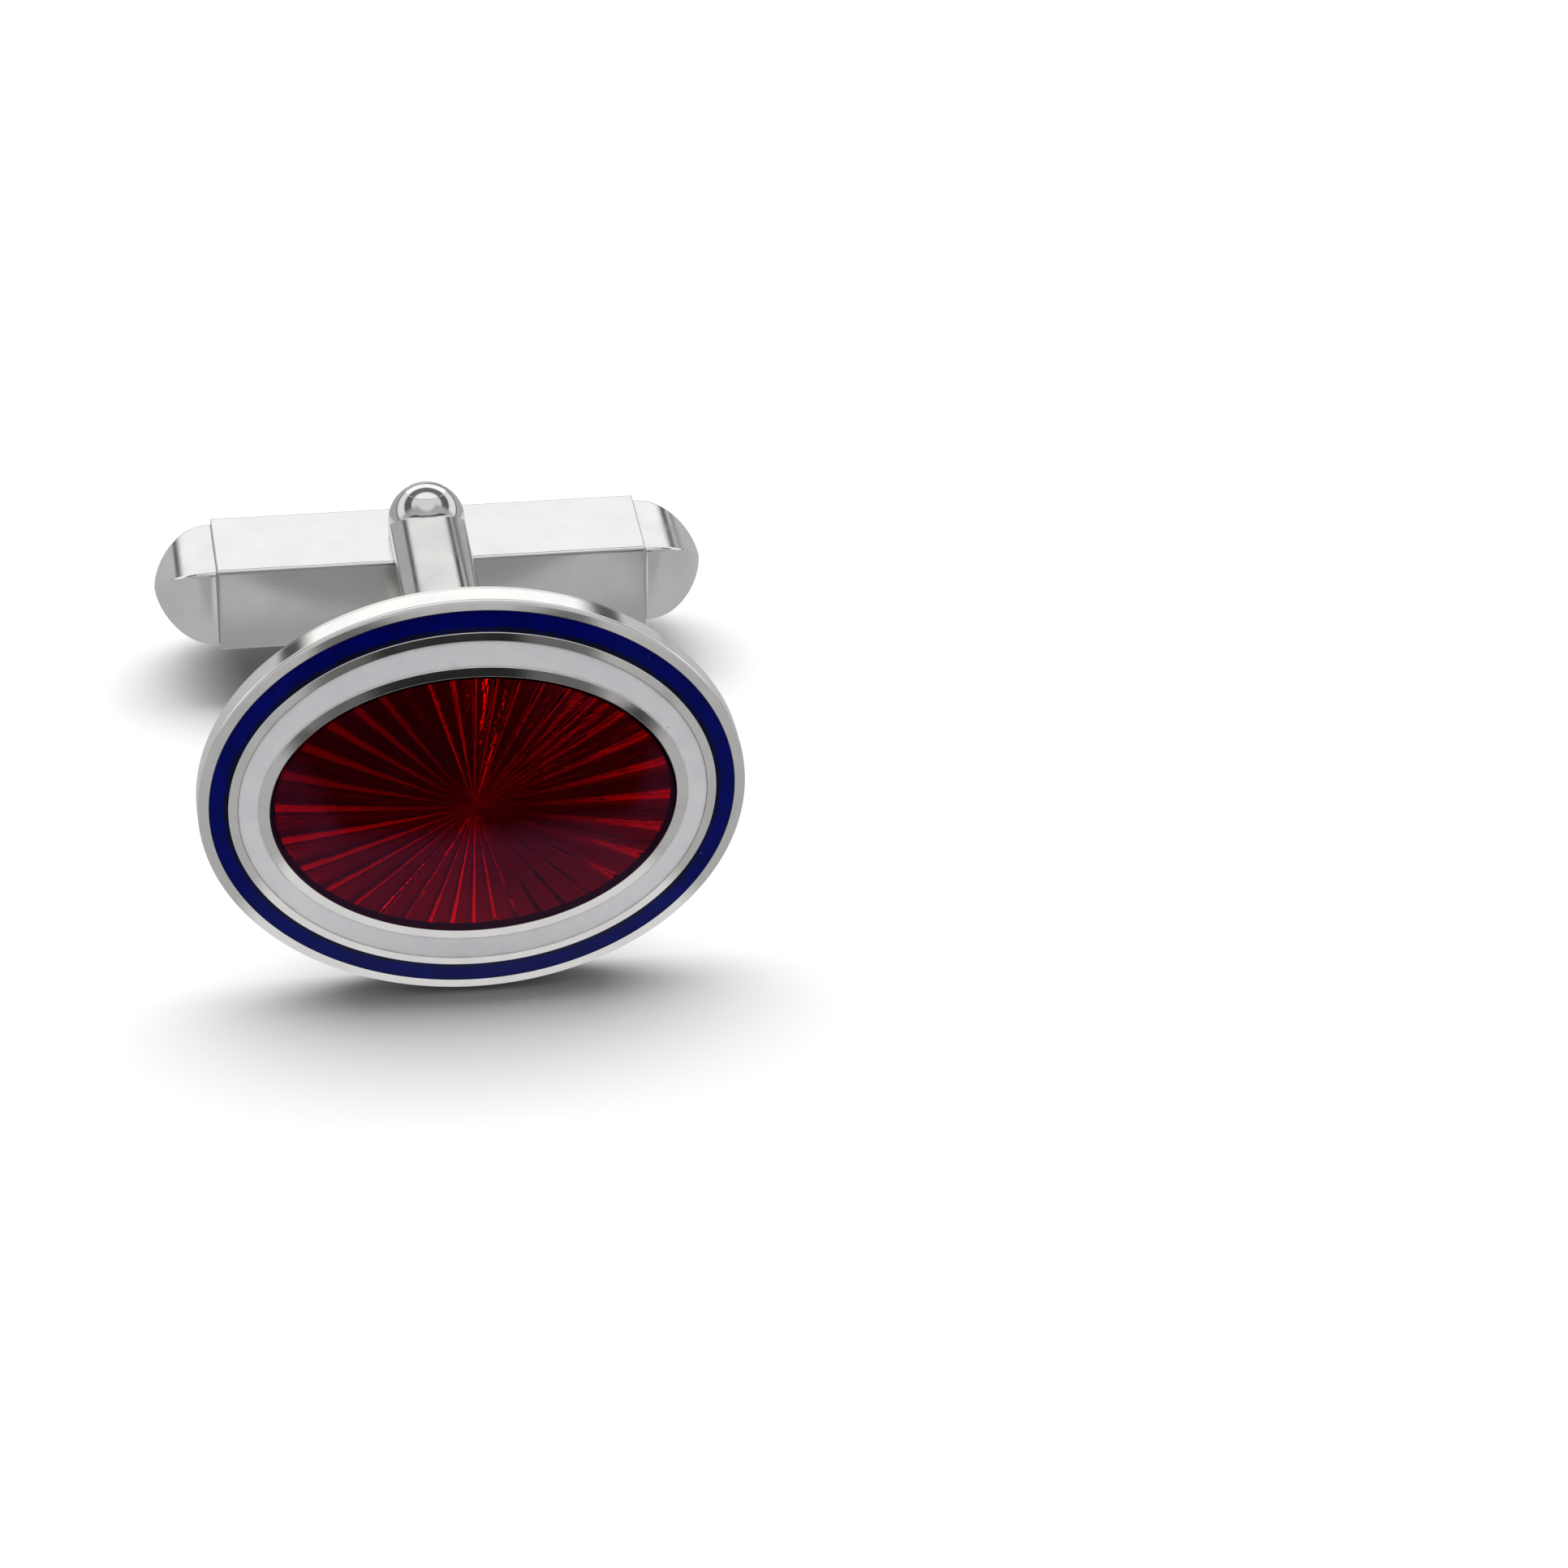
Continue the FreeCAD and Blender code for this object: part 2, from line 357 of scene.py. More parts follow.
def new_group(name: str, inputs: Dict[str, str], output_names: Sequence[str]) -> Group:
    """Start a shader node group that puts out plain values.

    Args:
        name: The group's name.
        inputs: Names and types of the input sockets.
        output_names: Names of the output sockets.

    Returns:
        A bench on the group, its input node and its output node.
    """
    group = bpy.data.node_groups.new(name, "ShaderNodeTree")
    for socket, kind in inputs.items():
        group.interface.new_socket(socket, in_out="INPUT", socket_type=kind)
    for socket in output_names:
        group.interface.new_socket(socket, in_out="OUTPUT", socket_type="NodeSocketFloat")
    bench = Bench(group)
    return bench, bench.add("NodeGroupInput"), bench.add("NodeGroupOutput")


def hairline_group() -> bpy.types.NodeTree:
    """Fine polishing lines that run one way, with a broad unevenness of the polish.

    Returns:
        A group with the lines' height and an unevenness mask.
    """
    bench, source, result = new_group(
        "polish_hairlines",
        {"Vector": "NodeSocketVector", "Stretch": "NodeSocketVector", "Fineness": "NodeSocketFloat"},
        ("Height", "Unevenness"))
    where = source.outputs["Vector"]
    drawn = bench.add("ShaderNodeVectorMath", operation="MULTIPLY")
    bench.feed(drawn.inputs[0], where)
    bench.feed(drawn.inputs[1], source.outputs["Stretch"])
    lines = bench.add("ShaderNodeTexNoise", Detail=3.0, Roughness=0.6, Vector=drawn.outputs[0],
                      Scale=source.outputs["Fineness"])
    broad = bench.add("ShaderNodeTexNoise", Scale=0.7, Detail=4.0, Roughness=0.55, Vector=where)
    bench.put(result, Height=lines.outputs[0], Unevenness=broad.outputs[0])
    return bench.tree


def speck_group(chosen_above: float = 0.72) -> bpy.types.NodeTree:
    """Sparse round specks, as pinholes and dust in fired enamel.

    Args:
        chosen_above: Share of the places that stay without a speck.

    Returns:
        A group with a mask that is 1 on a speck.
    """
    bench, source, result = new_group(
        "enamel_specks",
        {"Vector": "NodeSocketVector", "Spacing": "NodeSocketFloat", "Size": "NodeSocketFloat"},
        ("Mask",))
    cells = bench.add("ShaderNodeTexVoronoi", feature="F1", Vector=source.outputs["Vector"],
                      Scale=source.outputs["Spacing"])
    near = bench.math("LESS_THAN", cells.outputs["Distance"], source.outputs["Size"])
    chance = bench.add("ShaderNodeSeparateColor", Color=cells.outputs["Color"]).outputs[0]
    few = bench.math("GREATER_THAN", chance, chosen_above)
    bench.put(result, Mask=bench.math("MULTIPLY", near, few))
    return bench.tree


HAIRLINES = hairline_group()
SPECKS = speck_group()


def started(name: str) -> Tuple[bpy.types.Material, Bench, bpy.types.Node]:
    """Start a material.

    Args:
        name: The material's name.

    Returns:
        The material, its bench and its shader.
    """
    material = bpy.data.materials.new(name)
    material.use_nodes = True
    return material, Bench(material.node_tree), material.node_tree.nodes["Principled BSDF"]


@dataclass(frozen=True)
class SilverFinish:
    """Worked silver: its tint, gloss and polishing lines, and painted shade on sides below the top."""

    name: str
    tint: Colour
    shade: Colour
    gloss: Span
    fineness: float = 14.0
    relief: float = 0.15
    stretch: Tuple[float, float, float] = (1.0, 1.0, 1.0)
    line_depth: float = 0.002
    shade_span: Span = (0.35, 0.75)
    side_shade_tone: float = 1.0
    side_shade_span: Span = (0.0, 0.0)

    def painted_side_shade(self, bench: Bench, where: Socket, body: Socket) -> Socket:
        """Paint shade on the sides below the top, which come out darker than the top.

        Args:
            bench: The material's bench.
            where: Coordinates in the face's axes.
            body: The colour of the polished metal.

        Returns:
            The colour with painted shade on the sides.
        """
        height = bench.math("ABSOLUTE", bench.axes(where)[2])
        below = bench.spread(height, self.side_shade_span, (1.0, 0.0))
        return bench.mixed(below, body, self.side_shade_tone, "MULTIPLY")

    def material(self) -> bpy.types.Material:
        """Build the finish.

        Returns:
            The material.
        """
        material, bench, shader = started(self.name)
        where = bench.link_coordinates()
        lines = bench.add("ShaderNodeGroup", node_tree=HAIRLINES, Vector=where, Stretch=self.stretch,
                          Fineness=self.fineness)
        uneven = lines.outputs["Unevenness"]
        body = bench.stepped(uneven, self.shade_span, self.tint, self.shade)
        # painted shade on the sides below the top
        if self.side_shade_tone < 1.0:
            body = self.painted_side_shade(bench, where, body)
        bench.put(shader, Metallic=1.0, Base_Color=body,
                  Roughness=bench.spread(uneven, NOISE_SPAN, self.gloss),
                  Normal=bench.bumped(lines.outputs["Height"], self.relief, self.line_depth))
        return material


@dataclass(frozen=True)
class CutFinish:
    """Bright silver cut with a graver: fine tool marks that run out from the middle of the sunburst."""

    name: str
    tint: Colour
    gloss: Span
    marks: float = 16.0
    mark_length: float = 0.9
    relief: float = 0.5
    mark_depth: float = 0.02
    flatten: float = 1.25

    def material(self) -> bpy.types.Material:
        """Build the finish.

        Returns:
            The material.
        """
        material, bench, shader = started(self.name)
        x, _, z = bench.axes(bench.link_coordinates())
        high = bench.math("MULTIPLY", z, self.flatten)
        square = bench.math("ADD", bench.math("POWER", x, 2.0), bench.math("POWER", high, 2.0))
        turn = bench.math("MULTIPLY", bench.math("ARCTAN2", high, x), self.marks)
        reach = bench.math("DIVIDE", bench.math("SQRT", square), self.mark_length)
        way = bench.add("ShaderNodeCombineXYZ", X=turn, Y=reach).outputs[0]
        streaks = bench.add("ShaderNodeTexNoise", Scale=1.0, Detail=3.0, Roughness=0.6, Vector=way).outputs[0]
        bench.put(shader, Metallic=1.0, Base_Color=self.tint,
                  Roughness=bench.spread(streaks, NOISE_SPAN, self.gloss),
                  Normal=bench.bumped(streaks, self.relief, self.mark_depth))
        return material


@dataclass(frozen=True)
class GlassEnamel:
    """Clear coloured enamel that darkens with its depth."""

    name: str
    tint: Colour
    depth_colour: Colour
    depth_density: float
    gleam: Colour
    index: float = 1.5
    speck_spacing: float = 2.2
    speck_size: float = 0.035
    gloss: Span = (0.02, 0.35)
    wave_relief: float = 0.25
    wave_depth: float = 0.004

    def material(self) -> bpy.types.Material:
        """Build the finish.

        Returns:
            The material.
        """
        material, bench, shader = started(self.name)
        where = bench.link_coordinates()
        specks = bench.add("ShaderNodeGroup", node_tree=SPECKS, Vector=where, Spacing=self.speck_spacing,
                           Size=self.speck_size)
        waves = bench.add("ShaderNodeTexNoise", Scale=1.1, Detail=2.0, Vector=where)
        bench.put(shader, Base_Color=self.tint, Transmission_Weight=1.0, IOR=self.index,
                  Specular_Tint=self.gleam,
                  Roughness=bench.spread(specks.outputs["Mask"], (0.0, 1.0), self.gloss),
                  Normal=bench.bumped(waves.outputs[0], self.wave_relief, self.wave_depth))
        depth = bench.add("ShaderNodeVolumeAbsorption", Color=self.depth_colour, Density=self.depth_density)
        bench.put(material.node_tree.nodes["Material Output"], Volume=depth.outputs[0])
        return material


@dataclass(frozen=True)
class OpaqueEnamel:
    """Glossy dense enamel with faint clouds, a few specks and painted shade along its edges."""

    name: str
    tint: Colour
    cloud: Colour
    speck: Colour
    # colour of the painted shade along the edges
    rim: Colour
    gleam: Colour
    index: float = 1.5
    speck_spacing: float = 1.7
    speck_size: float = 0.04
    gloss: Span = (0.08, 0.16)
    cloud_span: Span = (0.35, 0.7)
    shade_noise_span: Span = (0.3, 0.6)
    shade_noise_levels: Span = (0.6, 1.0)
    wave_relief: float = 0.3
    wave_depth: float = 0.004

    def material(self) -> bpy.types.Material:
        """Build the finish.

        Returns:
            The material.
        """
        material, bench, shader = started(self.name)
        where = bench.link_coordinates()
        clouds = bench.add("ShaderNodeTexNoise", Scale=1.6, Detail=4.0, Vector=where).outputs[0]
        specks = bench.add("ShaderNodeGroup", node_tree=SPECKS, Vector=where, Spacing=self.speck_spacing,
                           Size=self.speck_size)
        body = bench.stepped(clouds, self.cloud_span, self.tint, self.cloud)
        # painted shade along the edges and beside the inner wall, broken up by the clouds
        edge = bench.add("ShaderNodeAttribute", attribute_name=EDGE_SHADE).outputs["Fac"]
        painted_edge_shade = bench.math("MULTIPLY", edge, bench.spread(clouds, self.shade_noise_span, self.shade_noise_levels))
        body = bench.mixed(painted_edge_shade, body, self.rim)
        bench.put(shader, IOR=self.index, Specular_Tint=self.gleam,
                  Base_Color=bench.mixed(specks.outputs["Mask"], body, self.speck),
                  Roughness=bench.spread(clouds, NOISE_SPAN, self.gloss),
                  Normal=bench.bumped(clouds, self.wave_relief, self.wave_depth))
        return material


POLISHED_SILVER = SilverFinish(
    "polished_silver", tint=(0.93, 0.92, 0.90, 1.0), shade=(0.86, 0.85, 0.84, 1.0), gloss=(0.05, 0.11),
    relief=0.12)
# A darker copy of the polished silver, for the caps and the back plate: painted shade.
SHADE_TONED_SILVER = SilverFinish(
    "shade_toned_silver", tint=(0.82, 0.815, 0.80, 1.0), shade=(0.74, 0.735, 0.73, 1.0), gloss=(0.07, 0.13))
# A still darker copy of the silver, for the stirrup: painted shade.
DEEP_SHADE_SILVER = SilverFinish(
    "deep_shade_silver", tint=(0.68, 0.675, 0.66, 1.0), shade=(0.60, 0.595, 0.59, 1.0), gloss=(0.07, 0.13))
# The bar's sides take painted shade, darker than its top.
BRUSHED_SILVER = SilverFinish(
    "brushed_silver", tint=(0.82, 0.82, 0.81, 1.0), shade=(0.77, 0.77, 0.77, 1.0), gloss=(0.09, 0.13),
    fineness=22.0, relief=0.3, stretch=(0.03, 1.0, 1.0), side_shade_tone=0.72, side_shade_span=(1.445, 1.505))
SPRING_STEEL = SilverFinish(
    "spring_steel", tint=(0.45, 0.46, 0.48, 1.0), shade=(0.36, 0.37, 0.40, 1.0), gloss=(0.2, 0.3),
    fineness=16.0, relief=0.3, stretch=(0.1, 1.0, 1.0))
# Near-black silver for the red cell's wall and moat: painted shade, not the metal's own colour.
PAINTED_SHADE_SILVER = SilverFinish(
    "painted_shade_silver", tint=(0.05, 0.045, 0.05, 1.0), shade=(0.03, 0.03, 0.03, 1.0), gloss=(0.35, 0.5),
    relief=0.2)
CUT_SILVER = CutFinish("cut_silver", tint=(0.95, 0.94, 0.92, 1.0), gloss=(0.06, 0.096))
RED_ENAMEL = GlassEnamel(
    "red_enamel", tint=(1.0, 0.06, 0.06, 1.0), depth_colour=(0.88, 0.0, 0.01, 1.0), depth_density=8000.0,
    gleam=(0.48, 0.12, 0.40, 1.0))
BLUE_ENAMEL = OpaqueEnamel(
    "blue_enamel", tint=(0.001, 0.002, 0.15, 1.0), cloud=(0.001, 0.001, 0.08, 1.0),
    speck=(0.20, 0.22, 0.42, 1.0), rim=(0.004, 0.004, 0.006, 1.0), gleam=(0.08, 0.14, 0.55, 1.0))
WHITE_ENAMEL = OpaqueEnamel(
    "white_enamel", tint=(0.90, 0.905, 0.93, 1.0), cloud=(0.85, 0.855, 0.89, 1.0),
    speck=(0.35, 0.34, 0.33, 1.0), rim=(0.38, 0.37, 0.36, 1.0), gleam=(1.0, 1.0, 1.0, 1.0))
FINISHES = (POLISHED_SILVER, SHADE_TONED_SILVER, DEEP_SHADE_SILVER, BRUSHED_SILVER, SPRING_STEEL, PAINTED_SHADE_SILVER, CUT_SILVER,
            RED_ENAMEL, BLUE_ENAMEL, WHITE_ENAMEL)


# The oval face


@dataclass(frozen=True)
class Dome:
    """The pressed dome of the face's front."""

    long_half: float = 9.0
    short_half: float = 7.2
    rise: float = 1.0

    def level(self, x: float, z: float) -> float:
        """Depth of the dome's surface behind the front edge.

        Args:
            x: Place along the long axis.
            z: Place along the short axis.

        Returns:
            The depth, negative in front of the edge.
        """
        radius = arc_radius(self.long_half, self.rise)
        reach = math.hypot(x, z * self.long_half / self.short_half)
        return radius - self.rise - math.sqrt(radius ** 2 - reach ** 2)


@dataclass(frozen=True)
class Ring:
    """One oval outline of a skin: half axes, depth from the dome or the front edge, and painted edge shade.
    """

    half: Half
    depth: float
    domed: bool = True
    shade: float = 0.0

    def inset(self, distance: float, depth: float) -> "Ring":
        """The same kind of outline, smaller by distance and at another depth."""
        return Ring((self.half[0] - distance, self.half[1] - distance), depth, self.domed)


@dataclass(frozen=True)
class OvalSkin:
    """Skins a row of oval outlines into a shell."""

    dome: Dome = Dome()
    segments: int = 216

    def set_ring(self, bm: bmesh.types.BMesh, verts: Verts, ring: Ring, before: Half) -> None:
        """Move a ring of vertices from the outline before to its own.

        Args:
            bm: The mesh being shaped.
            verts: The ring's vertices.
            ring: The new outline.
            before: Half axes of the outline that the vertices stand on.
        """
        shade = bm.verts.layers.float[EDGE_SHADE]
        for vert in verts:
            vert[shade] = ring.shade
            x = vert.co.x * ring.half[0] / before[0]
            z = vert.co.z * ring.half[1] / before[1]
            level = self.dome.level(x, z) if ring.domed else 0.0
            vert.co = (x, level + ring.depth, z)

    def skin(self, bm: bmesh.types.BMesh, rings: Sequence[Ring], poles: bool) -> None:
        """Skin the rings in order.

        Args:
            bm: The mesh to add to.
            rings: The outlines, one after another.
            poles: Whether the first and the last outline are drawn together to points.
        """
        bm.verts.layers.float.new(EDGE_SHADE)
        made = bmesh.ops.create_circle(bm, cap_ends=False, radius=1.0, segments=self.segments)
        verts = made["verts"]
        for vert in verts:
            vert.co = (vert.co.x, 0.0, vert.co.y)
        self.set_ring(bm, verts, rings[0], (1.0, 1.0))
        first = verts
        for before, ring in zip(rings, rings[1:]):
            verts = extruded(bm, loop_edges(verts))
            self.set_ring(bm, verts, ring, before.half)
        if poles:
            self.draw_together(bm, first, rings[0])
            self.draw_together(bm, verts, rings[-1])

    def draw_together(self, bm: bmesh.types.BMesh, verts: Verts, ring: Ring) -> None:
        """Merge a ring of vertices at its middle."""
        level = self.dome.level(0.0, 0.0) if ring.domed else 0.0
        bmesh.ops.pointmerge(bm, verts=verts, merge_co=(0.0, level + ring.depth, 0.0))

    def settle(self, piece: Piece, rings: Sequence[Ring], poles: bool, material: bpy.types.Material) -> None:
        """Skin the rings into a finished piece.

        Args:
            piece: The piece.
            rings: Its outlines, one after another.
            poles: Whether the first and the last outline are drawn together to points.
            material: Its finish.
        """
        bm = bmesh.new()
        self.skin(bm, rings, poles)
        piece.settle(bm, material)


@dataclass(frozen=True)
class Sunburst:
    """Radial cuts in the softly swelling floor of the red cell."""

    dome: Dome = Dome()
    swell: float = 0.6
    rays: int = 36
    crowding: float = 0.05
    ridge_level: float = -0.20
    cut_depth: float = 0.07
    foot_level: float = 0.08
    stations: Tuple[float, ...] = (0.02, 0.06, 0.12, 0.2, 0.3, 0.42, 0.55, 0.7, 0.85, 1.0)
    steps: Tuple[float, ...] = (0.0, 0.05, 0.30, 0.56, 0.64, 0.72, 0.86, 0.95)
    drops: Tuple[float, ...] = (0.03, 0.08, 0.5, 0.95, 1.0, 0.95, 0.55, 0.16)

    def build(self, bm: bmesh.types.BMesh, reach: Half) -> None:
        """Add the pleated island.

        Args:
            bm: The mesh to add to.
            reach: Half axes of the island.
        """
        count = self.rays * len(self.steps)
        made = bmesh.ops.create_circle(bm, cap_ends=False, radius=1.0, segments=count)
        verts = made["verts"]
        shape = {}
        for index, vert in enumerate(verts):
            ray, step = divmod(index, len(self.steps))
            even = 2 * math.pi * (ray + self.steps[step]) / self.rays
            angle = even + self.crowding * math.sin(2 * even)
            far = 1 / math.hypot(math.cos(angle) / reach[0], math.sin(angle) / reach[1])
            shape[index] = (far * math.cos(angle), far * math.sin(angle), self.drops[step])
        order = {vert: index for index, vert in enumerate(verts)}
        for number, station in enumerate(self.stations):
            if number:
                edges = loop_edges(verts)
                below = {tuple(round(c, 7) for c in vert.co): order[vert] for vert in verts}
                verts = extruded(bm, edges)
                order = {vert: below[tuple(round(c, 7) for c in vert.co)] for vert in verts}
            for vert in verts:
                x, z, drop = shape[order[vert]]
                level = self.swelled(x * station, z * station, reach)
                vert.co = (x * station, level + self.cut_depth * station * drop, z * station)
            if number == 0:
                first = verts
        outer = extruded(bm, loop_edges(verts))
        for vert in outer:
            vert.co.y = self.foot_level
        bmesh.ops.pointmerge(bm, verts=first, merge_co=(0.0, self.swelled(0.0, 0.0, reach), 0.0))
        bmesh.ops.holes_fill(bm, edges=loop_edges(outer), sides=0)

    def swelled(self, x: float, z: float, reach: Half) -> float:
        """Depth of the ridges, which follow the dome a part of the way."""
        return self.ridge_level + self.swell * (self.dome.level(x, z) - self.dome.level(reach[0], 0.0))


@dataclass(frozen=True)
class RingCell:
    """The enamel of a ring-shaped cell, with a band of painted shade beside the inner wall."""

    node: str
    slot: Slot
    shade_band: float = 0.0
    shade_band_edge: float = 0.05

    def shade(self, share: float) -> float:
        """Darkness of the painted shade band at a share of the width."""
        return min(1.0, max(0.0, (share + self.shade_band - 1) / self.shade_band_edge + 1)) if self.shade_band else 0.0


@dataclass
class Face:
    """The struck face plate, its three enamel fields and its back plate."""

    rim_depth: float = 0.9
    rim_round: float = 0.09
    round_centre: float = 0.8
    round_reach: float = 1.1
    round_turn_deg: int = 13
    round_end_deg: int = 78
    rear_ease: float = 0.06
    hold: float = 0.02
    draft: float = 0.14
    wall_ease: float = 0.015
    fill_drop: float = 0.012
    fill_hollow: float = 0.008
    seat: float = 0.01
    blue_floor: float = 0.20
    white_floor: float = 0.0
    moat_floor: float = 0.05
    moat_width: float = 0.20
    back_thick: float = 0.35
    back_inset: float = 0.08
    back_bevel: float = 0.12
    back_ease: float = 0.25
    back_slope: float = 0.6
    pole_inset: float = 6.0
    pole_half: Half = (0.3, 0.24)
    hollow_power: int = 4
    edge_power: int = 12
    blue_cell: RingCell = RingCell("blue_enamel", Slot.BLUE, 0.22)
    white_cell: RingCell = RingCell("white_enamel", Slot.WHITE)
    fill_shares: Tuple[float, ...] = (
        0.0, 0.03, 0.06, 0.1, 0.18, 0.3, 0.5, 0.65, 0.73, 0.78, 0.84, 0.9, 0.94, 0.97, 1.0)
    centre_edge: Tuple[Half, ...] = ((0.04, 0.6), (0.12, 0.9))
    centre_shares: Tuple[float, ...] = (0.94, 0.85, 0.72, 0.58, 0.44, 0.3, 0.16, 0.05)
    widths: Tuple[Half, ...] = (
        (0.376, 0.350), (0.613, 0.690), (0.319, 0.285), (0.659, 0.850), (0.367, 0.325))
    skin: OvalSkin = OvalSkin()
    sunburst: Sunburst = Sunburst()
    halves: List[Half] = field(default_factory=list)

    def __post_init__(self) -> None:
        """Work out each outline from the rim inwards."""
        half = (self.skin.dome.long_half, self.skin.dome.short_half)
        self.halves = [half]
        for width in self.widths:
            half = (half[0] - width[0], half[1] - width[1])
            self.halves.append(half)

    def rim_rings(self) -> List[Ring]:
        """Back, straight rim and rounded front edge of the face plate.

        Returns:
            The outlines from the back to the front.
        """
        rim = Ring(self.halves[0], self.rim_depth, False)
        front = Ring(rim.half, 0.0)
        back = self.rim_depth
        ease = self.rear_ease
        centre = self.round_centre * self.rim_round
        rings = [rim.inset(self.pole_inset, back), rim.inset(ease, back),
                 rim.inset(MID_EASE * ease, back - MID_EASE * ease), rim.inset(0.0, back - ease),
                 rim.inset(0.0, back - ease - self.hold), rim.inset(0.0, centre + self.hold)]
        for degrees in range(0, self.round_end_deg + 1, self.round_turn_deg):
            turn = math.radians(degrees)
            rings.append(rim.inset(self.rim_round * (1 - math.cos(turn)),
                                   centre - self.rim_round * math.sin(turn)))
        step = self.round_reach * self.rim_round
        return rings + [front.inset(step, 0.0), front.inset(step + self.hold, 0.0)]

    def lip(self, half: Half, falling: bool) -> List[Ring]:
        """The eased lip of a cell's wall.

        Args:
            half: Half axes of the wall.
            falling: Whether the surface goes down into the cell there, or comes up out of it.

        Returns:
            The outlines from the rim inwards.
        """
        steps = [(-1.6, 0.0), (-1.0, 0.0), (-MID_EASE, MID_EASE), (0.0, 1.0)]
        if not falling:
            steps = [(-out, down) for out, down in reversed(steps)]
        edge = Ring(half, 0.0)
        return [edge.inset(out * self.wall_ease, down * self.wall_ease) for out, down in steps]

    def cell_rings(self, outer: Half, inner: Half, floor: float) -> List[Ring]:
        """Down the outer wall of a ring cell, across its floor and up its sloping inner wall.

        Args:
            outer: Half axes of the outer wall.
            inner: Half axes of the inner wall.
            floor: Depth of the floor.

        Returns:
            The outlines from the rim inwards.
        """
        foot = Ring(inner, floor, False).inset(-self.draft, floor)
        return self.lip(outer, True) + [Ring(outer, floor, False), foot] + self.lip(inner, False)

    def build_plate(self, finishes: Finishes) -> None:
        """Shape the face plate with its cells, and the sunburst on the floor of the red one.

        Args:
            finishes: The materials by name.
        """
        _, blue_out, blue_in, white_out, white_in, red = self.halves
        moat = (red[0] - self.moat_width, red[1] - self.moat_width)
        rings = self.rim_rings()
        rings += self.cell_rings(blue_out, blue_in, self.blue_floor)
        rings += self.cell_rings(white_out, white_in, self.white_floor)
        rings += self.lip(red, True)
        rings += [Ring(red, self.moat_floor, False), Ring(self.pole_half, self.moat_floor, False)]
        plate = Piece("struck_face", Body.FACE, Slot.POLISHED, ("face_plate",), sharp_deg=32.0)
        self.skin.settle(plate, rings, True, finishes[POLISHED_SILVER.name])
        bm = bmesh.new()
        self.sunburst.build(bm, moat)
        floor = Piece("sunburst_floor", Body.FACE, Slot.POLISHED, ("face_plate",), sharp_deg=32.0)
        floor.settle(bm, finishes[CUT_SILVER.name])
        self.build_liner(moat, finishes[PAINTED_SHADE_SILVER.name])

    def build_liner(self, moat: Half, material: bpy.types.Material) -> None:
        """Shape a near-black skin on the red cell's wall and moat: painted shade round the red field.

        Args:
            moat: Half axes of the moat's inner side.
            material: The piece's finish.
        """
        top = 2 * self.wall_ease
        thin = 0.5 * self.wall_ease
        floor = self.moat_floor
        lip = Ring(self.halves[5], 0.0)
        wall = Ring(self.halves[5], floor, False)
        inner = Ring(moat, floor, False).inset(-thin, floor)
        rings = [lip.inset(-thin, top), wall.inset(-thin, floor + thin), inner.inset(0.0, floor + thin),
                 inner.inset(0.0, floor - thin), wall.inset(thin, floor - thin), lip.inset(thin, top)]
        # painted shade in the red cell's wall and moat
        liner = Piece("red_cell_painted_shade", Body.FACE, Slot.POLISHED, ("face_plate",), sharp_deg=32.0)
        self.skin.settle(liner, rings + rings[:1], False, material)

    def build_ring(self, cell: RingCell, outer: Half, inner: Half, floor: float, finishes: Finishes) -> None:
        """Shape the enamel of a ring-shaped cell, its top a little hollow between the walls.

        Args:
            cell: The cell's enamel.
            outer: Half axes of the cell's outer wall.
            inner: Half axes of the cell's inner wall.
            floor: Depth of the cell's floor.
            finishes: The materials by name.
        """
        outside = Ring(outer, 0.0).inset(-self.seat, self.fill_drop)
        inside = Ring(inner, 0.0).inset(self.seat, self.fill_drop)
        rings = [Ring(outside.half, floor + self.seat, False)]
        for share in self.fill_shares:
            half = tuple(o + (i - o) * share for o, i in zip(outside.half, inside.half))
            side = abs(2 * share - 1)
            depth = self.fill_drop + self.fill_hollow * (1 - side ** self.hollow_power)
            # edge shade: painted shade at both walls, and the painted band beside the inner wall
            rings.append(Ring(half, depth, True, max(side ** self.edge_power, cell.shade(share))))
        rings.append(Ring(inside.half, floor + self.seat, False))
        rings.append(rings[0])
        piece = Piece(cell.node + "_fill", Body.FACE, cell.slot, (cell.node,))
        self.skin.settle(piece, rings, False, finishes[cell.node])

    def build_centre(self, material: bpy.types.Material) -> None:
        """Shape the clear red field, domed with the face.

        Args:
            material: The piece's finish.
        """
        edge = Ring(self.halves[5], 0.0).inset(-self.seat, self.fill_drop)
        base = self.moat_floor + self.seat
        rings = [Ring(self.pole_half, base, False), Ring(edge.half, base, False), edge]
        for distance, share in self.centre_edge:
            rings.append(edge.inset(distance, self.fill_drop + share * self.fill_hollow))
        for share in self.centre_shares:
            half = (edge.half[0] * share, edge.half[1] * share)
            rings.append(Ring(half, self.fill_drop + self.fill_hollow))
        self.skin.settle(Piece("red_field", Body.FACE, Slot.RED, ("red_enamel",)), rings, True, material)

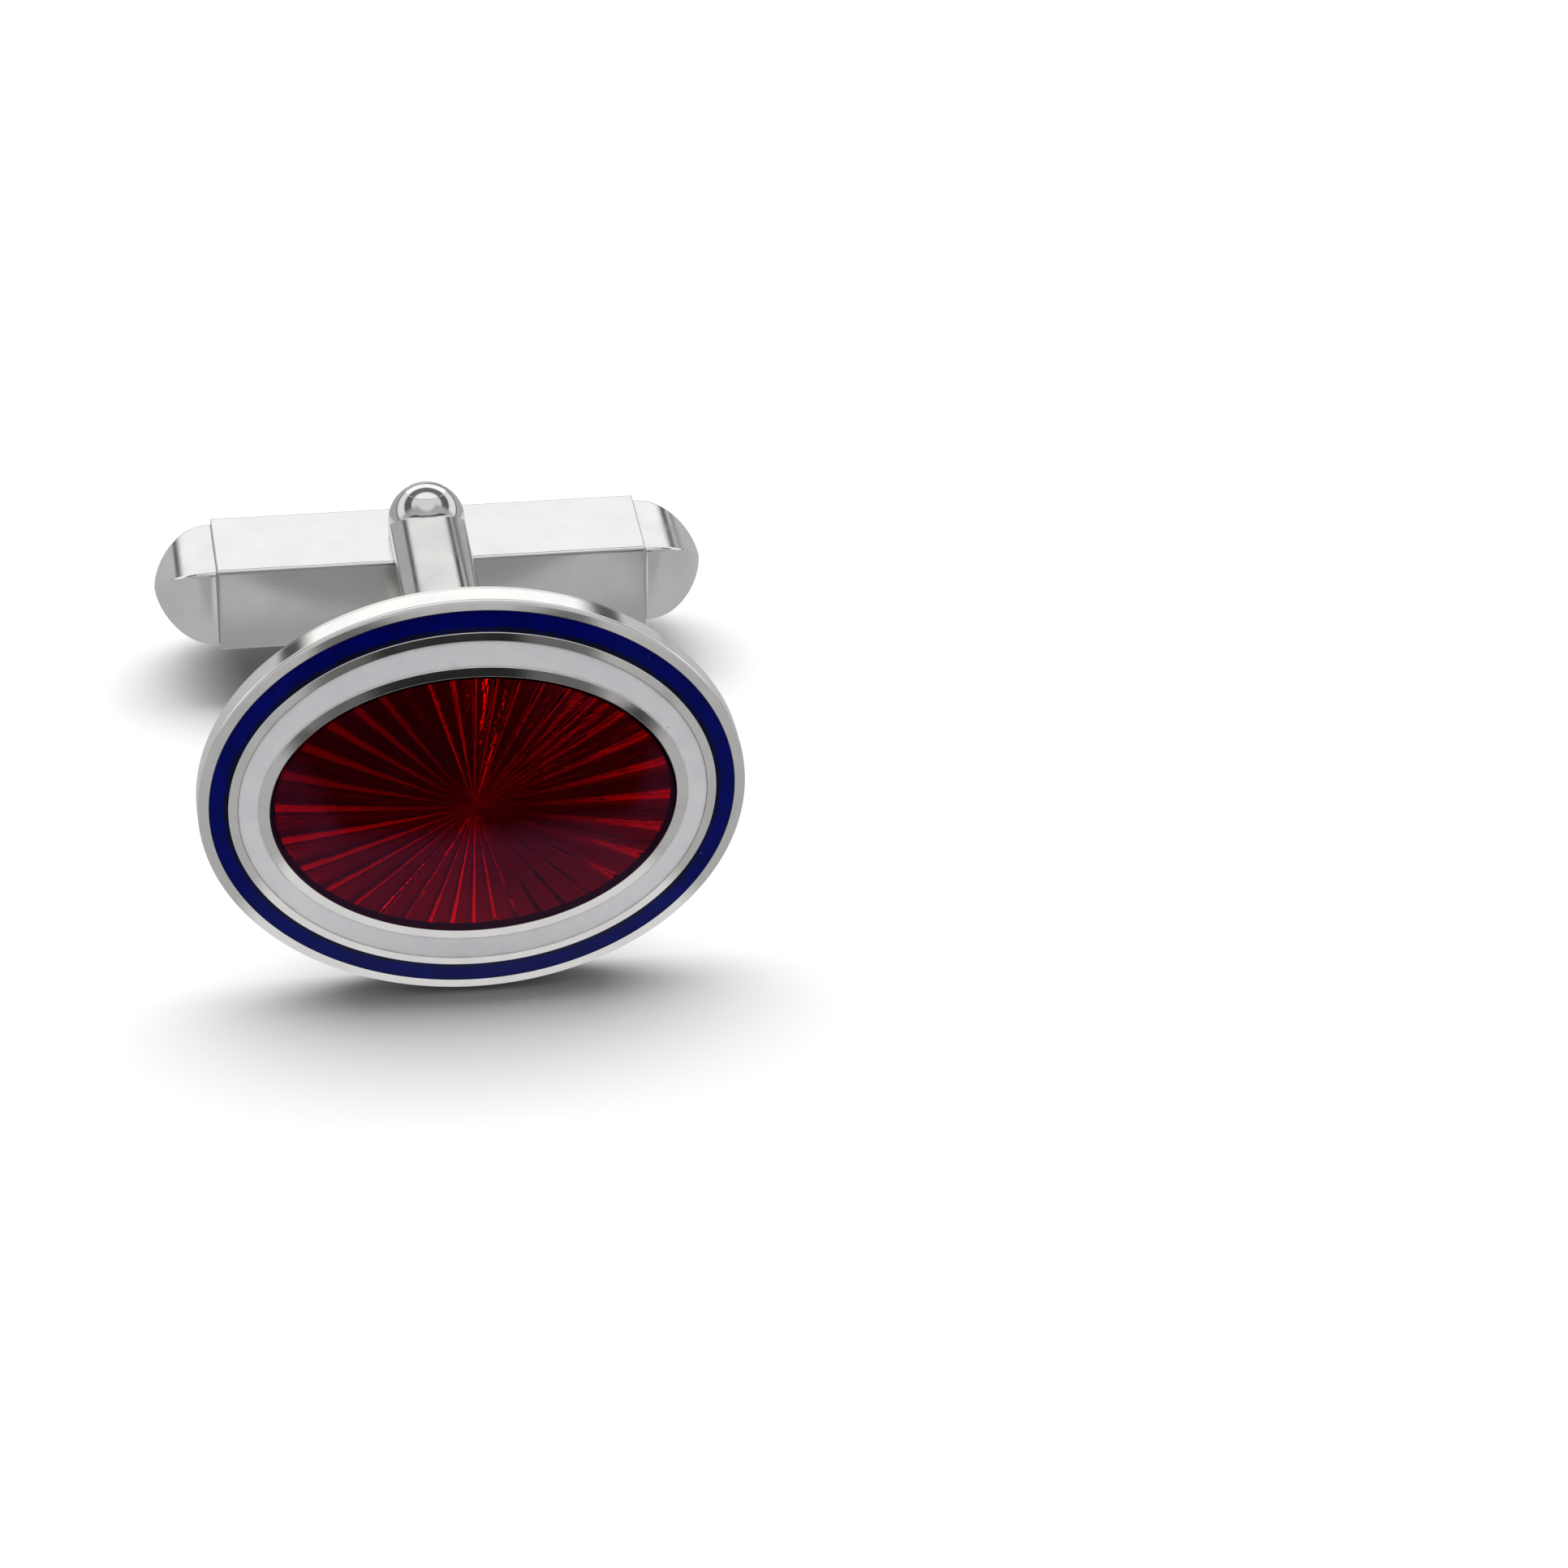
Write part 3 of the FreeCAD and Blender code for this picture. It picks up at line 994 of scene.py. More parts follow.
    def build_back(self, material: bpy.types.Material) -> None:
        """Shape the thin back plate with its bevelled rear edge.

        Args:
            material: The piece's finish.
        """
        half = (self.halves[0][0] - self.back_inset, self.halves[0][1] - self.back_inset)
        front = self.rim_depth
        back = front + self.back_thick
        bevel = self.back_bevel
        ease = self.back_ease * bevel
        slope = self.back_slope * bevel
        rim = Ring(half, front, False)
        rings = [rim.inset(distance, depth) for distance, depth in (
            (self.pole_inset, front), (ease, front), (0.0, front + ease), (0.0, front + ease + self.hold),
            (0.0, back - bevel - self.hold), (0.0, back - bevel), (ease, back - slope),
            (slope, back - ease), (bevel, back), (bevel + self.hold, back), (self.pole_inset, back))]
        piece = Piece("rear_plate", Body.FACE, Slot.POLISHED, ("back_plate",))
        self.skin.settle(piece, rings, True, material)

    def build(self, finishes: Finishes) -> None:
        """Build and dress every piece of the face.

        Args:
            finishes: The materials by name.
        """
        _, blue_out, blue_in, white_out, white_in, _ = self.halves
        self.build_plate(finishes)
        self.build_ring(self.blue_cell, blue_out, blue_in, self.blue_floor, finishes)
        self.build_ring(self.white_cell, white_out, white_in, self.white_floor, finishes)
        self.build_centre(finishes[RED_ENAMEL.name])
        self.build_back(finishes[SHADE_TONED_SILVER.name])


# The stirrup and its pin


@dataclass(frozen=True)
class Stirrup:
    """Two half-round arms with ball-shaped eyes on a soldered foot, and the pin through the eyes."""

    post_length: float = POST_LENGTH
    back_face: float = 1.25
    inside: float = 1.605
    arm_width: float = 2.66
    side: float = 0.45
    crown: float = 0.75
    ball_radius: float = 1.34
    ball_level: float = 2.0
    edge_ease: float = 0.06
    bridge: float = 1.0
    throat_round: float = 0.7
    foot_radius: float = 3.3
    foot_thick: float = 0.45
    foot_bevel: float = 0.2
    pin_radius: float = 0.7
    pin_proud: float = 0.015
    crown_steps: int = 14
    throat_steps: int = 8
    pin_end_steps: int = 8
    ball_turn_deg: int = 6
    eye_turns: int = 72
    foot_turns: int = 96
    pin_turns: int = 64

    @property
    def pivot(self) -> Vector:
        """The middle of the pin."""
        return Vector((0.0, self.post_length, 0.0))

    def section(self, bm: bmesh.types.BMesh) -> Verts:
        """Half of the arm's section, from the middle of its flat inside to the top of its crown.

        Args:
            bm: The mesh to add to.

        Returns:
            The section's vertices in order.
        """
        half = self.arm_width / 2
        radius = arc_radius(half, self.crown)
        top = self.inside + self.side + self.crown
        ease = self.edge_ease
        outline = [(0.0, self.inside), (half - ease, self.inside),
                   (half - MID_EASE * ease, self.inside + MID_EASE * ease), (half, self.inside + ease),
                   (half, top - self.crown - ease)]
        spread = math.asin(half / radius)
        for part in range(1, self.crown_steps + 1):
            turn = spread * (1 - part / self.crown_steps)
            outline.append((radius * math.sin(turn), top - radius + radius * math.cos(turn)))
        return self.chain(bm, [(x, self.back_face, z) for x, z in outline])

    def chain(self, bm: bmesh.types.BMesh, points: Sequence[Tuple[float, float, float]]) -> Verts:
        """Join points by edges.

        Args:
            bm: The mesh to add to.
            points: The points in order.

        Returns:
            Their vertices.
        """
        verts = [bm.verts.new(point) for point in points]
        for pair in zip(verts, verts[1:]):
            bm.edges.new(pair)
        return verts

    def turned(self, bm: bmesh.types.BMesh, verts: Verts, centre: Vector, axis: Tuple[float, float, float],
               steps: int) -> None:
        """Turn a chain of vertices once round an axis."""
        bmesh.ops.spin(bm, geom=verts + loop_edges(verts), cent=centre, axis=axis, angle=2 * math.pi,
                       steps=steps, use_merge=True)

    def add_arm(self, bm: bmesh.types.BMesh) -> None:
        """Draw the section out to the pin and set the ball eye on its end.

        Args:
            bm: The mesh to add to.
        """
        verts = extruded(bm, loop_edges(self.section(bm)))
        bmesh.ops.translate(bm, verts=verts, vec=(0.0, self.post_length - self.back_face, 0.0))
        bmesh.ops.mirror(bm, geom=bm.verts[:] + bm.edges[:] + bm.faces[:], matrix=Matrix.Identity(4),
                         merge_dist=1e-4, axis="X")
        bmesh.ops.remove_doubles(bm, verts=bm.verts, dist=1e-4)
        bmesh.ops.holes_fill(bm, edges=[edge for edge in bm.edges if edge.is_boundary], sides=0)
        radius = self.ball_radius
        ease = self.edge_ease
        outline = [(0.0, self.inside), (radius - ease, self.inside),
                   (radius - MID_EASE * ease, self.inside + MID_EASE * ease), (radius, self.inside + ease)]
        for degrees in range(0, 91, self.ball_turn_deg):
            turn = math.radians(degrees)
            outline.append((radius * math.cos(turn), self.ball_level + radius * math.sin(turn)))
        ball = self.chain(bm, [(r, self.post_length, z) for r, z in outline])
        self.turned(bm, ball, self.pivot, (0.0, 0.0, 1.0), self.eye_turns)

    def add_bridge(self, bm: bmesh.types.BMesh) -> None:
        """Add the block between the arms with its rounded throat.

        Args:
            bm: The mesh to add to.
        """
        reach = self.back_face + self.bridge
        half = -self.arm_width / 2
        high = self.inside + self.side / 2
        bend = self.throat_round
        corners = [(self.back_face, -high), (self.back_face, high), (reach + bend, high),
                   (reach + bend, self.inside)]
        verts = self.chain(bm, [(half, y, z) for y, z in corners])
        chain = verts[-1]
        for sign in (1, -1):
            centre = (half, reach + bend, sign * (self.inside - bend))
            turned = bmesh.ops.spin(bm, geom=[chain], cent=centre, axis=(1.0, 0.0, 0.0), angle=math.pi / 2,
                                    steps=self.throat_steps)
            chain = verts_of(turned["geom_last"])[0]
            if sign > 0:
                step = bm.verts.new((half, reach, bend - self.inside))
                bm.edges.new((chain, step))
                chain = step
        last = bm.verts.new((half, reach + bend, -high))
        bm.edges.new((chain, last))
        bm.edges.new((last, verts[0]))
        wire = [edge for edge in bm.edges if edge.is_wire]
        side = bmesh.ops.contextual_create(bm, geom=wire)["faces"]
        far = bmesh.ops.extrude_face_region(bm, geom=side, use_keep_orig=True)["geom"]
        bmesh.ops.translate(bm, verts=verts_of(far), vec=(self.arm_width, 0.0, 0.0))

    def add_foot(self, bm: bmesh.types.BMesh) -> None:
        """Turn the round foot.

        Args:
            bm: The mesh to add to.
        """
        back = self.back_face + self.foot_thick
        soft = MID_EASE * self.foot_bevel
        outline = ((0.0, self.back_face), (self.foot_radius, self.back_face),
                   (self.foot_radius, back - self.foot_bevel), (self.foot_radius - soft, back - soft),
                   (self.foot_radius - self.foot_bevel, back), (0.0, back))
        chain = self.chain(bm, [(r, y, 0.0) for r, y in outline])
        self.turned(bm, chain, Vector(), (0.0, 1.0, 0.0), self.foot_turns)

    def build_stirrup(self, material: bpy.types.Material) -> None:
        """Shape the arms with their eyes, the bridge and the foot.

        Args:
            material: The piece's finish.
        """
        bm = bmesh.new()
        self.add_arm(bm)
        twin = bmesh.ops.duplicate(bm, geom=bm.verts[:] + bm.edges[:] + bm.faces[:])["geom"]
        bmesh.ops.rotate(bm, verts=verts_of(twin), cent=(0.0, 0.0, 0.0),
                         matrix=Matrix.Rotation(math.pi, 3, "Y"))
        self.add_bridge(bm)
        self.add_foot(bm)
        Piece("stirrup_post", Body.FACE, Slot.POLISHED, ("stirrup",), sharp_deg=25.0).settle(bm, material)

    def build_pin(self, material: bpy.types.Material) -> None:
        """Turn the pin, its riveted ends rounded with the balls.

        Args:
            material: The piece's finish.
        """
        radius = self.ball_radius + self.pin_proud
        reach = math.asin(self.pin_radius / radius)
        half = []
        for part in range(self.pin_end_steps + 1):
            turn = reach * part / self.pin_end_steps
            half.append((radius * math.sin(turn), self.ball_level + radius * math.cos(turn)))
        outline = half + [(r, -z) for r, z in reversed(half)]
        bm = bmesh.new()
        chain = self.chain(bm, [(r, self.post_length, z) for r, z in outline])
        self.turned(bm, chain, self.pivot, (0.0, 0.0, 1.0), self.pin_turns)
        Piece("riveted_pin", Body.FACE, Slot.POLISHED, ("pivot_pin",), sharp_deg=30.0).settle(bm, material)

    def build(self, finishes: Finishes) -> None:
        """Build and dress the stirrup and its pin.

        Args:
            finishes: The materials by name.
        """
        self.build_stirrup(finishes[DEEP_SHADE_SILVER.name])
        self.build_pin(finishes[POLISHED_SILVER.name])


# The swivel bar


@dataclass(frozen=True)
class Bar:
    """A rectangular tube with two domed four-sided caps."""

    post_length: float = POST_LENGTH
    body: float = 14.8
    deep: float = 4.2
    high: float = 3.05
    wall: float = 0.45
    edge: float = 0.08
    edge_steps: int = 5
    hold: float = 0.04
    end_ease: float = 0.04
    cap_length: float = 2.12
    cap_step: float = 0.14
    cap_shoulder: float = 0.10
    cap_taper: float = 1.25
    cap_turn_deg: int = 5
    spigot: float = 1.2

    def loop(self, bm: bmesh.types.BMesh, x: float, inset: float) -> Verts:
        """A rectangle with rounded corners round the bar's axis.

        Args:
            bm: The mesh to add to.
            x: Place along the bar.
            inset: How much smaller than the bar it is on each side.

        Returns:
            The loop's vertices.
        """
        made = bmesh.ops.create_grid(bm, x_segments=1, y_segments=1, size=1.0)
        for vert in made["verts"]:
            vert.co = (x, self.post_length + vert.co.x * (self.deep / 2 - inset),
                       vert.co.y * (self.high / 2 - inset))
        bmesh.ops.bevel(bm, geom=made["verts"], offset=self.edge, offset_type="OFFSET", affect="VERTICES",
                        segments=self.edge_steps, profile=0.5, material=-1)
        face = [item for item in bm.faces if item.is_valid][-1]
        for side in [edge for edge in face.edges if edge.calc_length() > 4 * self.edge]:
            for end in list(side.verts):
                made_edge, _ = bmesh.utils.edge_split(side, end, self.hold / side.calc_length())
                side = max(side, made_edge, key=lambda edge: edge.calc_length())
        verts = list(face.verts)
        bmesh.ops.delete(bm, geom=[face], context="FACES_ONLY")
        return verts

    def resize(self, verts: Verts, x: float, before: float, after: float) -> None:
        """Move a loop along the bar and change its inset.

        Args:
            verts: The loop's vertices.
            x: New place along the bar.
            before: Inset of the loop so far.
            after: New inset.
        """
        deep = (self.deep - 2 * after) / (self.deep - 2 * before)
        high = (self.high - 2 * after) / (self.high - 2 * before)
        for vert in verts:
            vert.co = (x, self.post_length + (vert.co.y - self.post_length) * deep, vert.co.z * high)

    def run(self, bm: bmesh.types.BMesh, stations: Sequence[Tuple[float, float]]) -> Verts:
        """Skin a row of rounded rectangles.

        Args:
            bm: The mesh to add to.
            stations: Place along the bar and inset of each rectangle.

        Returns:
            The last rectangle's vertices.
        """
        verts = self.loop(bm, *stations[0])
        for (_, before), (x, after) in zip(stations, stations[1:]):
            verts = extruded(bm, loop_edges(verts))
            self.resize(verts, x, before, after)
        return verts

    def build_tube(self, material: bpy.types.Material) -> None:
        """Shape the straight tube, open at both ends.

        Args:
            material: The piece's finish.
        """
        end = self.body / 2
        ease = self.end_ease
        held = end - ease - self.hold
        outside = [(held, 0.0), (end - ease, 0.0), (end - MID_EASE * ease, MID_EASE * ease), (end, ease),
                   (end, self.wall)]
        stations = [(-x, inset) for x, inset in reversed(outside)] + outside + [(-end, self.wall)]
        bm = bmesh.new()
        self.run(bm, stations)
        Piece("bar_body", Body.BAR, Slot.BRUSHED, ("bar_tube",), sharp_deg=50.0).settle(bm, material)

    def build_cap(self, side: Side, material: bpy.types.Material) -> None:
        """Shape one domed cap on its spigot.

        Args:
            side: The bar's end.
            material: The piece's finish.
        """
        start = self.body / 2
        shoulder = start + self.cap_shoulder
        length = self.cap_length - self.cap_shoulder
        ease = self.end_ease
        stations = [(start - self.spigot, self.wall), (start, self.wall), (start, self.cap_step + ease),
                    (start + MID_EASE * ease, self.cap_step + MID_EASE * ease), (start + ease, self.cap_step),
                    (shoulder, self.cap_step)]
        bm = bmesh.new()
        verts = self.run(bm, stations)
        bmesh.ops.holes_fill(bm, edges=[edge for edge in bm.edges if edge.is_boundary
                                        and edge.verts[0].co.x < start - self.spigot / 2
                                        and edge.verts[1].co.x < start - self.spigot / 2], sides=0)
        shrink = 1.0
        for degrees in range(self.cap_turn_deg, 90, self.cap_turn_deg):
            turn = math.radians(degrees)
            verts = extruded(bm, loop_edges(verts))
            factor = math.cos(turn) ** self.cap_taper / shrink
            for vert in verts:
                vert.co = (shoulder + length * math.sin(turn),
                           self.post_length + (vert.co.y - self.post_length) * factor, vert.co.z * factor)
            shrink = math.cos(turn) ** self.cap_taper
        bmesh.ops.pointmerge(bm, verts=verts, merge_co=(shoulder + length, self.post_length, 0.0))
        bmesh.ops.scale(bm, verts=bm.verts, vec=(side.value, 1.0, 1.0))
        name = side.name.lower()
        piece = Piece(name + "_cap", Body.BAR, Slot.POLISHED, (name + "_end_cap",), sharp_deg=50.0)
        piece.settle(bm, material)

    def build(self, finishes: Finishes) -> None:
        """Build and dress the bar.

        Args:
            finishes: The materials by name.
        """
        self.build_tube(finishes[BRUSHED_SILVER.name])
        for side in Side:
            self.build_cap(side, finishes[SHADE_TONED_SILVER.name])
        springs = frame["nodes"]["click_springs"]
        springs.data.materials.clear()
        springs.data.materials.append(finishes[SPRING_STEEL.name])
        LOG.info("click_springs keep their shape")


# Table, light and camera


@dataclass(frozen=True)
class TableGlow:
    """Painted reflection: the glow that silver and clear enamel see in place of the table.

    Spans are places on the table in metres, or slopes to the side; the other fields are brightness levels.
    """

    nearest: float = 0.001
    card_ahead: Span = (-0.032, -0.024)
    card_left: Span = (-0.28, -0.22)
    card_right: Span = (0.40, 0.44)
    card: float = 0.02
    aside_span: Span = (0.0085, 0.0100)
    middle: float = 0.68
    beside: float = 0.40
    under_span: Span = (-0.0105, -0.0075)
    under: float = 0.50
    arm_left: Span = (0.006, 0.012)
    arm_right: Span = (0.030, 0.036)
    arm_back: Span = (0.030, 0.060)
    far_span: Span = (0.22, 0.40)
    far: float = 0.08
    rim_front: float = -0.009
    broad_left: Span = (-0.90, -0.74)
    broad_right: Span = (0.80, 1.00)
    left_span: Span = (-0.034, -0.022)
    left_levels: Span = (0.38, 1.0)
    right_span: Span = (-0.005, 0.005)
    right: float = 0.60
    # a painted glint, far to the left, seen through the clear enamel
    glint_ahead: Span = (-0.11, -0.09)
    glint_left: Span = (-0.80, -0.75)
    glint_right: Span = (-0.45, -0.40)
    glint: float = 3.5
    wedge_span: Span = (-0.30, -0.06)
    wedge_levels: Span = (0.02, 0.09)
    wedge_side: Span = (0.25, 0.30)
    deep: float = 0.02
    lit_side: Span = (-0.15, 0.15)
    lit_levels: Span = (0.15, 0.20)
    lit_span: Span = (-0.024, -0.014)
    foot_span: Span = (-0.0142, -0.0128)
    foot: float = 0.03

    def mirrored(self, bench: Bench, x: Socket, y: Socket) -> Socket:
        """Painted reflection in the silver: a dark card ahead, a pale middle and dark far ground.

        Args:
            bench: The table's bench.
            x: Place across the table.
            y: Place along the table, from the camera's side to the back.

        Returns:
            The brightness.
        """
        ahead = bench.math("MAXIMUM", bench.math("MULTIPLY", y, -1.0), self.nearest)
        sector = bench.between(bench.math("DIVIDE", x, ahead), self.card_left, self.card_right)
        card = bench.math("MULTIPLY", bench.spread(y, self.card_ahead, (1.0, 0.0)), sector)
        level = bench.stepped(bench.math("ABSOLUTE", x), self.aside_span, self.middle, self.beside)
        level = bench.stepped(y, self.under_span, level, self.under)
        arm = bench.math("MULTIPLY", bench.between(x, self.arm_left, self.arm_right),
                         bench.spread(y, self.arm_back))
        away = bench.math("MAXIMUM", arm, bench.spread(y, self.far_span))
        return bench.mixed(card, bench.mixed(away, level, self.far), self.card)

    def through(self, bench: Bench, x: Socket, y: Socket) -> Socket:
        """Painted brightness through the clear enamel: a dim broad sector ahead between two bright flanks.

        Args:
            bench: The table's bench.
            x: Place across the table.
            y: Place along the table, from the camera's side to the back.

        Returns:
            The brightness.
        """
        before = bench.math("MAXIMUM", bench.math("SUBTRACT", self.rim_front, y), self.nearest)
        aside = bench.math("DIVIDE", x, before)
        broad = bench.between(aside, self.broad_left, self.broad_right)
        left = bench.stepped(y, self.left_span, *self.left_levels)
        flank = bench.stepped(x, self.right_span, left, self.right)
        glint = bench.math("MULTIPLY", bench.spread(y, self.glint_ahead, (1.0, 0.0)),
                           bench.between(aside, self.glint_left, self.glint_right))
        wedge = bench.spread(y, self.wedge_span, self.wedge_levels)
        away = bench.stepped(aside, self.wedge_side, self.deep, wedge)
        lit = bench.stepped(aside, self.lit_side, *self.lit_levels)
        close = bench.stepped(y, self.lit_span, away, lit)
        close = bench.stepped(y, self.foot_span, close, self.foot)
        return bench.mixed(glint, bench.mixed(broad, flank, close), self.glint)


@dataclass(frozen=True)
class Patch:
    """An upright patch of the surroundings in front of the link.

    It lies between two slopes from straight ahead and two sines of the height.
    """

    across: Span
    heights: Span
    strength: float
    soft: float = 0.015
    nearest: float = 0.05

    def edge(self, place: float) -> Span:
        """The soft edge at a place."""
        return (place - self.soft, place + self.soft)

    def mask(self, bench: Bench, direction: Sequence[Socket]) -> Socket:
        """Mark the patch.

        Args:
            bench: The world's bench.
            direction: The axes of the view direction.

        Returns:
            1 inside the patch, 0 outside.
        """
        x, y, z = direction
        ahead = bench.math("MAXIMUM", bench.math("MULTIPLY", y, -1.0), self.nearest)
        wide = bench.between(bench.math("DIVIDE", x, ahead), *(self.edge(place) for place in self.across))
        high = bench.between(z, *(self.edge(place) for place in self.heights))
        return bench.math("MULTIPLY", wide, high)


@dataclass(frozen=True)
class Surroundings:
    """Soft studio round the link: brightness by height above the horizon, and patches in front."""

    behind: Stops = ((0.03, 0.08), (0.085, 1.08), (0.42, 1.08), (0.47, 0.16), (0.72, 0.14), (0.78, 0.95))
    ahead: Stops = ((0.0, 0.40), (0.3, 0.5), (0.90, 0.55), (0.95, 0.95))
    through: Stops = ((0.0, 0.02), (0.05, 0.04), (0.30, 0.055), (0.45, 0.075), (0.8, 0.20), (1.0, 0.24))
    cards: Tuple[Patch, ...] = (Patch((-0.19, 0.30), (-0.06, 0.27), 0.72),
                                Patch((-0.09, 0.17), (-0.06, 0.26), 0.24))
    glows: Tuple[Patch, ...] = (Patch((-0.02, 1.5), (0.15, 0.60), 0.17),
                                Patch((-0.80, -0.02), (0.13, 0.60), 0.42))
    back_span: Span = (-0.1, 0.1)
    fill_span: Span = (-0.5, 0.7)
    fill: Span = (0.07, 0.55)

    def ramp(self, bench: Bench, height: Socket, stops: Stops) -> Socket:
        """Brightness by height above the horizon.

        Args:
            bench: The world's bench.
            height: Sine of the height, from -1 to 1.
            stops: Height and brightness of each stop.

        Returns:
            The brightness.
        """
        node = bench.add("ShaderNodeValToRGB")
        bench.feed(node.inputs[0], bench.spread(height, (-1.0, 1.0)))
        marks = node.color_ramp.elements
        while len(marks) < len(stops):
            marks.new(0.5)
        for mark, (level, bright) in zip(marks, stops):
            mark.position = (level + 1) / 2
            mark.color = (bright, bright, bright, 1.0)
        return node.outputs[0]

    def build(self) -> None:
        """Set the world, which silver, clear enamel and matt surfaces see each in its own brightness."""
        world = bpy.data.worlds.new("studio")
        world.use_nodes = True
        bpy.context.scene.world = world
        bench = Bench(world.node_tree)
        direction = bench.axes(bench.add("ShaderNodeTexCoord").outputs["Generated"])
        _, y, z = direction
        open_share: object = 1.0
        for card in self.cards:
            covered = bench.math("MULTIPLY", card.mask(bench, direction), card.strength)
            open_share = bench.math("SUBTRACT", open_share, covered)
        front = bench.mixed(1.0, self.ramp(bench, z, self.ahead), open_share, "MULTIPLY")
        seen = bench.stepped(y, self.back_span, front, self.ramp(bench, z, self.behind))
        inside = self.ramp(bench, z, self.through)
        for glow in self.glows:
            inside = bench.mixed(glow.mask(bench, direction), inside, glow.strength)
        path = bench.add("ShaderNodeLightPath").outputs
        seen = bench.mixed(path["Is Transmission Ray"], seen, inside)
        soft = bench.stepped(y, self.fill_span, *self.fill)
        bench.put(world.node_tree.nodes["Background"], Color=bench.mixed(path["Is Diffuse Ray"], seen, soft))


@dataclass(frozen=True)
class Softbox:
    """A broad lamp that points at the link and shows in no reflection; sizes in metres."""

    name: str
    size: Half
    place: Tuple[float, float, float]
    watts: float

    def build(self) -> bpy.types.Object:
        """Hang the lamp.

        Returns:
            The lamp's object.
        """
        lamp = bpy.data.lights.new(self.name, "AREA")
        lamp.shape = "RECTANGLE"
        lamp.size, lamp.size_y = self.size
        lamp.energy = self.watts
        item = bpy.data.objects.new(self.name, lamp)
        item.location = self.place
        item.rotation_euler = (-item.location).to_track_quat("-Z", "Y").to_euler()
        item.visible_glossy = False
        bpy.context.collection.objects.link(item)
        return item


